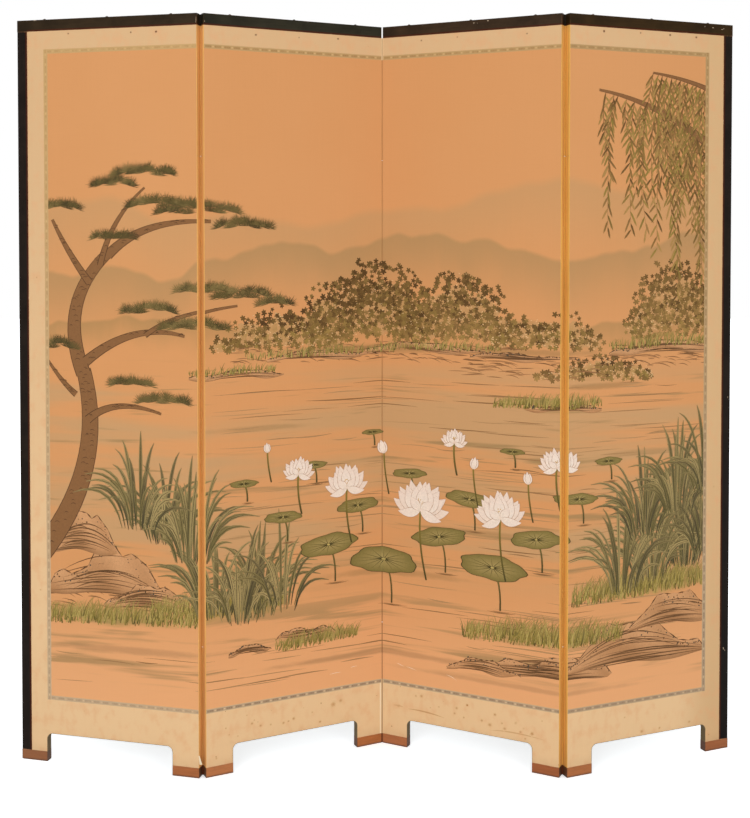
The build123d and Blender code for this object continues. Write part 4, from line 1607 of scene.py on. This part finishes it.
def cutToFold(source, fold, material, name):  # strokes that run on over the cloth between two panels
    bm = source.copy()
    reach = foldStroke["reach"]
    start = fold * panelWidth
    cutTo(bm, start, -reach, reach, *pictureHeights)
    for step in range(1, foldStroke["steps"]):
        cutAcross(bm, (start - reach + 2 * reach * step / foldStroke["steps"], 0, 0), (1, 0, 0))
    points = bridgePath(fold)
    outward = Vector((0, -1, 0))
    for vert in bm.verts:
        along = min(0.9999, max(0.0, (vert.co.x - start + reach) / (2 * reach))) * (len(points) - 1)
        first, second = points[int(along)], points[int(along) + 1]
        place = first.lerp(second, along - int(along)) + outward * (foldStroke["lift"] - vert.co.y)
        vert.co = (place.x, place.y, vert.co.z)
    thicken(bm, strokeBody)
    piece = newPiece(name, bm, material)
    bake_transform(piece)


def paintPicture(pigment):
    brush = Brush(41)
    for paint in (paintRipples, paintGroves, paintRocks, paintGrass, paintPine, paintWillow, paintIrises, paintLotus):
        paint(brush)
        brush.raiseLayer()
        print("painted", paint.__name__, "in", brush.count, "strokes, up to", round(brush.layer * 1000, 3), "mm")
    picture = brush.gather()
    for number in panels:
        cutToPicture(picture, number, pigment, f"panel_{number}_brushwork")
    for fold, side in folds.items():
        if side == "axis_in_front":
            cutToFold(picture, fold, pigment, f"fold_{fold}_brushwork")
    picture.free()


# ---- marks of age: foxing in the borders, scratches, chips, a few of them also a painted highlight, and a torn corner

stains = {  # of each panel's border: x, z, reach, and how dark
    1: [
        (0.135, 1.764, 0.0036, 0.6), (0.297, 1.761, 0.0036, 0.75), (0.361, 1.760, 0.0042, 1.0),
        (0.052, 0.42, 0.004, 0.2), (0.047, 1.18, 0.0035, 0.2),
    ],
    2: [
        (0.130, 1.758, 0.0040, 0.8), (0.241, 1.759, 0.0032, 0.4), (0.344, 1.763, 0.0040, 0.8),
        (0.224, 0.103, 0.0060, 0.45), (0.197, 0.097, 0.0056, 0.38), (0.294, 0.083, 0.0050, 0.5),
        (0.116, 0.110, 0.0060, 0.35), (0.138, 0.101, 0.0060, 0.3), (0.210, 0.099, 0.0046, 0.36),
        (0.026, 0.042, 0.0034, 0.6), (0.050, 0.110, 0.0038, 0.35), (0.164, 0.099, 0.0044, 0.25),
        (0.273, 0.110, 0.0034, 0.3), (0.058, 0.093, 0.0032, 0.3), (0.122, 0.117, 0.0030, 0.35),
        (0.103, 0.132, 0.0030, 0.3), (0.330, 0.120, 0.0130, 0.26), (0.350, 0.126, 0.0090, 0.22),
        (0.080, 0.086, 0.0030, 0.3), (0.250, 0.125, 0.0028, 0.3),
    ],
    3: [
        (0.105, 1.760, 0.0034, 0.6), (0.200, 1.762, 0.0030, 0.4), (0.377, 1.758, 0.0034, 0.5),
        (0.229, 0.134, 0.0040, 0.95), (0.395, 0.093, 0.0075, 0.5), (0.288, 0.096, 0.0080, 0.35),
        (0.301, 0.123, 0.0052, 0.5), (0.267, 0.103, 0.0060, 0.35), (0.326, 0.093, 0.0075, 0.25),
        (0.354, 0.112, 0.0050, 0.45), (0.366, 0.092, 0.0060, 0.3), (0.044, 0.101, 0.0060, 0.3),
        (0.201, 0.122, 0.0060, 0.32), (0.196, 0.108, 0.0050, 0.3), (0.220, 0.102, 0.0044, 0.35),
        (0.107, 0.136, 0.0070, 0.28), (0.378, 0.078, 0.0040, 0.4), (0.319, 0.105, 0.0044, 0.3),
        (0.154, 0.117, 0.0036, 0.3), (0.374, 0.102, 0.0036, 0.3), (0.092, 0.134, 0.0050, 0.22),
        (0.420, 0.128, 0.0032, 0.25),
    ],
    4: [
        (0.093, 1.763, 0.0046, 1.0), (0.279, 1.765, 0.0044, 0.9), (0.355, 1.764, 0.0042, 0.85),
        (0.195, 1.765, 0.0034, 0.6), (0.209, 0.079, 0.0080, 0.3), (0.260, 0.080, 0.0050, 0.4),
        (0.347, 0.082, 0.0062, 0.25), (0.406, 0.041, 0.0034, 0.3), (0.160, 0.121, 0.0040, 0.22),
        (0.416, 0.660, 0.0036, 0.25),
    ],
}
streaks = {  # thin brown lines on a border: start, middle, end, width, and how dark
    3: [
        ((0.070, 0.098), (0.115, 0.101), (0.168, 0.092), 0.0038, 0.62),
        ((0.290, 0.083), (0.345, 0.092), (0.425, 0.083), 0.0032, 0.5),
        ((0.030, 0.101), (0.045, 0.103), (0.058, 0.100), 0.0028, 0.45),
    ],
}
scratches = {  # bare lines in the picture: start, middle, end
    2: [((0.320, 0.196), (0.338, 0.199), (0.352, 0.197)), ((0.376, 0.204), (0.386, 0.207), (0.396, 0.206))],
    3: [
        ((0.040, 0.209), (0.050, 0.206), (0.060, 0.203)), ((0.066, 0.204), (0.080, 0.202), (0.094, 0.198)),
        ((0.174, 0.200), (0.188, 0.199), (0.201, 0.190)),
    ],
}
chips = {  # bare wood where lacquer has gone (the tall narrow ones at the rails' ends by the first fold are also a painted highlight): the panel and the seed, then x, z, half width, half height
    "panel_1_rail_wear_and_highlight": (1, 30, [
        (0.4612, 1.785, 0.0004, 0.0060), (0.4604, 1.779, 0.0003, 0.0022), (0.047, 1.7985, 0.0040, 0.0007),
    ]),
    "panel_2_rail_wear_and_highlight": (2, 31, [(0.003, 1.781, 0.0004, 0.0022)]),
    "panel_3_rail": (3, 32, [
        (0.243, 1.7925, 0.0022, 0.0009), (0.279, 1.7955, 0.0025, 0.0011), (0.252, 1.7915, 0.0009, 0.0006),
    ]),
    "panel_4_rail": (4, 33, [
        (0.404, 1.790, 0.0024, 0.0010), (0.431, 1.7875, 0.0026, 0.0008), (0.436, 1.7895, 0.0014, 0.0010),
        (0.380, 1.792, 0.0020, 0.0006),
    ]),
    "right_stile": (4, 37, [
        (0.4478, 0.252, 0.0012, 0.0030), (0.4520, 0.247, 0.0008, 0.0016), (0.4560, 0.88, 0.0007, 0.0022),
    ]),
}
foxed = {"low": (0.56, 0.33, 0.09, 1), "top": (0.20, 0.10, 0.03, 1), "topFrom": 1.5}
clean = (1, 1, 1, 1)
bareSilk = (srgb(250, 226, 196), srgb(240, 204, 168))
markHeights = {"stains": 0.00002, "chips": 0.00003, "scratches": 0.0001}


def layMarks(brush, number, name, material, lift=0.0):
    bm = brush.gather()
    move(bm, panelPlace(number) @ Matrix.Translation((0, -lift, 0)))
    solidStrokes(newPiece(name, bm, material, f"panel_{number}"))


def markBorders():
    for number, spots in stains.items():
        brush = Brush(7 + number, markHeights["stains"])
        luck = brush.luck
        for x, z, reach, dark in spots:
            brown = foxed["top" if z > foxed["topFrom"] else "low"]
            core = between(clean, brown, dark)
            paintBlob(brush, x, z, reach, reach * luck.uniform(0.7, 1.0), core, clean, 14, 90)
            paintBlob(brush, x, z, reach * 0.5, reach * 0.44, between(core, brown, 0.6), core, 10)
        for *path, width, dark in streaks.get(number, ()):
            for share in (1.0, 0.45):
                shade = between(clean, foxed["low"], dark * (1.3 - share * 0.6))
                brush.sweep(path, width * share, shade, None, 16, lens)
        layMarks(brush, number, f"panel_{number}_foxing", finishBorder(number, True))


def markPicture(pigment):
    for number, lines in scratches.items():
        brush = Brush(19 + number, markHeights["scratches"])
        for path in lines:
            brush.sweep(path, 0.0013, *bareSilk, 7, lens)
        layMarks(brush, number, f"panel_{number}_scratches", pigment)


def markLacquer():
    bare = finishChips()
    for name, (number, seed, flakes) in chips.items():
        brush = Brush(seed, markHeights["chips"])
        for x, z, wide, tall in flakes:
            paintBlob(brush, x, z, wide, tall, clean, clean, 12)
        layMarks(brush, number, f"{name}_chips", bare, frameProud)


tornCorner = {  # its outline from the top round to the right, from the panel's end, and how far it curls forward
    "outline": [(-0.0016, 0.0545), (0.0006, 0.0545), (0.0080, 0.0345), (0.0008, 0.0335)],
    "curl": 0.0018,
    "thick": 0.0002,
    "size": (0.010, 0.022, 0.0001),  # width, length and area as cut
}


def tearCorner():  # a flap of border silk that has come away over the first fold and curls forward
    bm = bmesh.new()
    made = bmesh.ops.create_grid(bm, x_segments=6, y_segments=8, size=1)["verts"]
    topLeft, topRight, lowRight, lowLeft = (Vector((x, 0, z)) for x, z in tornCorner["outline"])
    for vert in made:
        u, v = (vert.co.x + 1) / 2, (vert.co.y + 1) / 2
        place = lowLeft.lerp(lowRight, u).lerp(topLeft.lerp(topRight, u), v)
        curl = tornCorner["curl"] * ((1 - v) ** 1.6 * (0.35 + 0.65 * u))
        away = curl + 0.0004 * math.sin(u * 4) * (1 - v)
        vert.co = (panelWidth + place.x, -0.0005 - away, place.z + 0.0006 * math.sin(u * 9) * (1 - v))
    faceOutward(bm)
    thicken(bm, tornCorner["thick"])
    move(bm, panelPlace(1))
    faceOutward(bm)
    smoothFaces(bm, 50)
    flap = newPiece("panel_1_torn_corner", bm, finishTorn(), "panel_1")


pigment = finishPigment()
paintPicture(pigment)
markBorders()
markPicture(pigment)
markLacquer()
tearCorner()
print("marks of age laid")
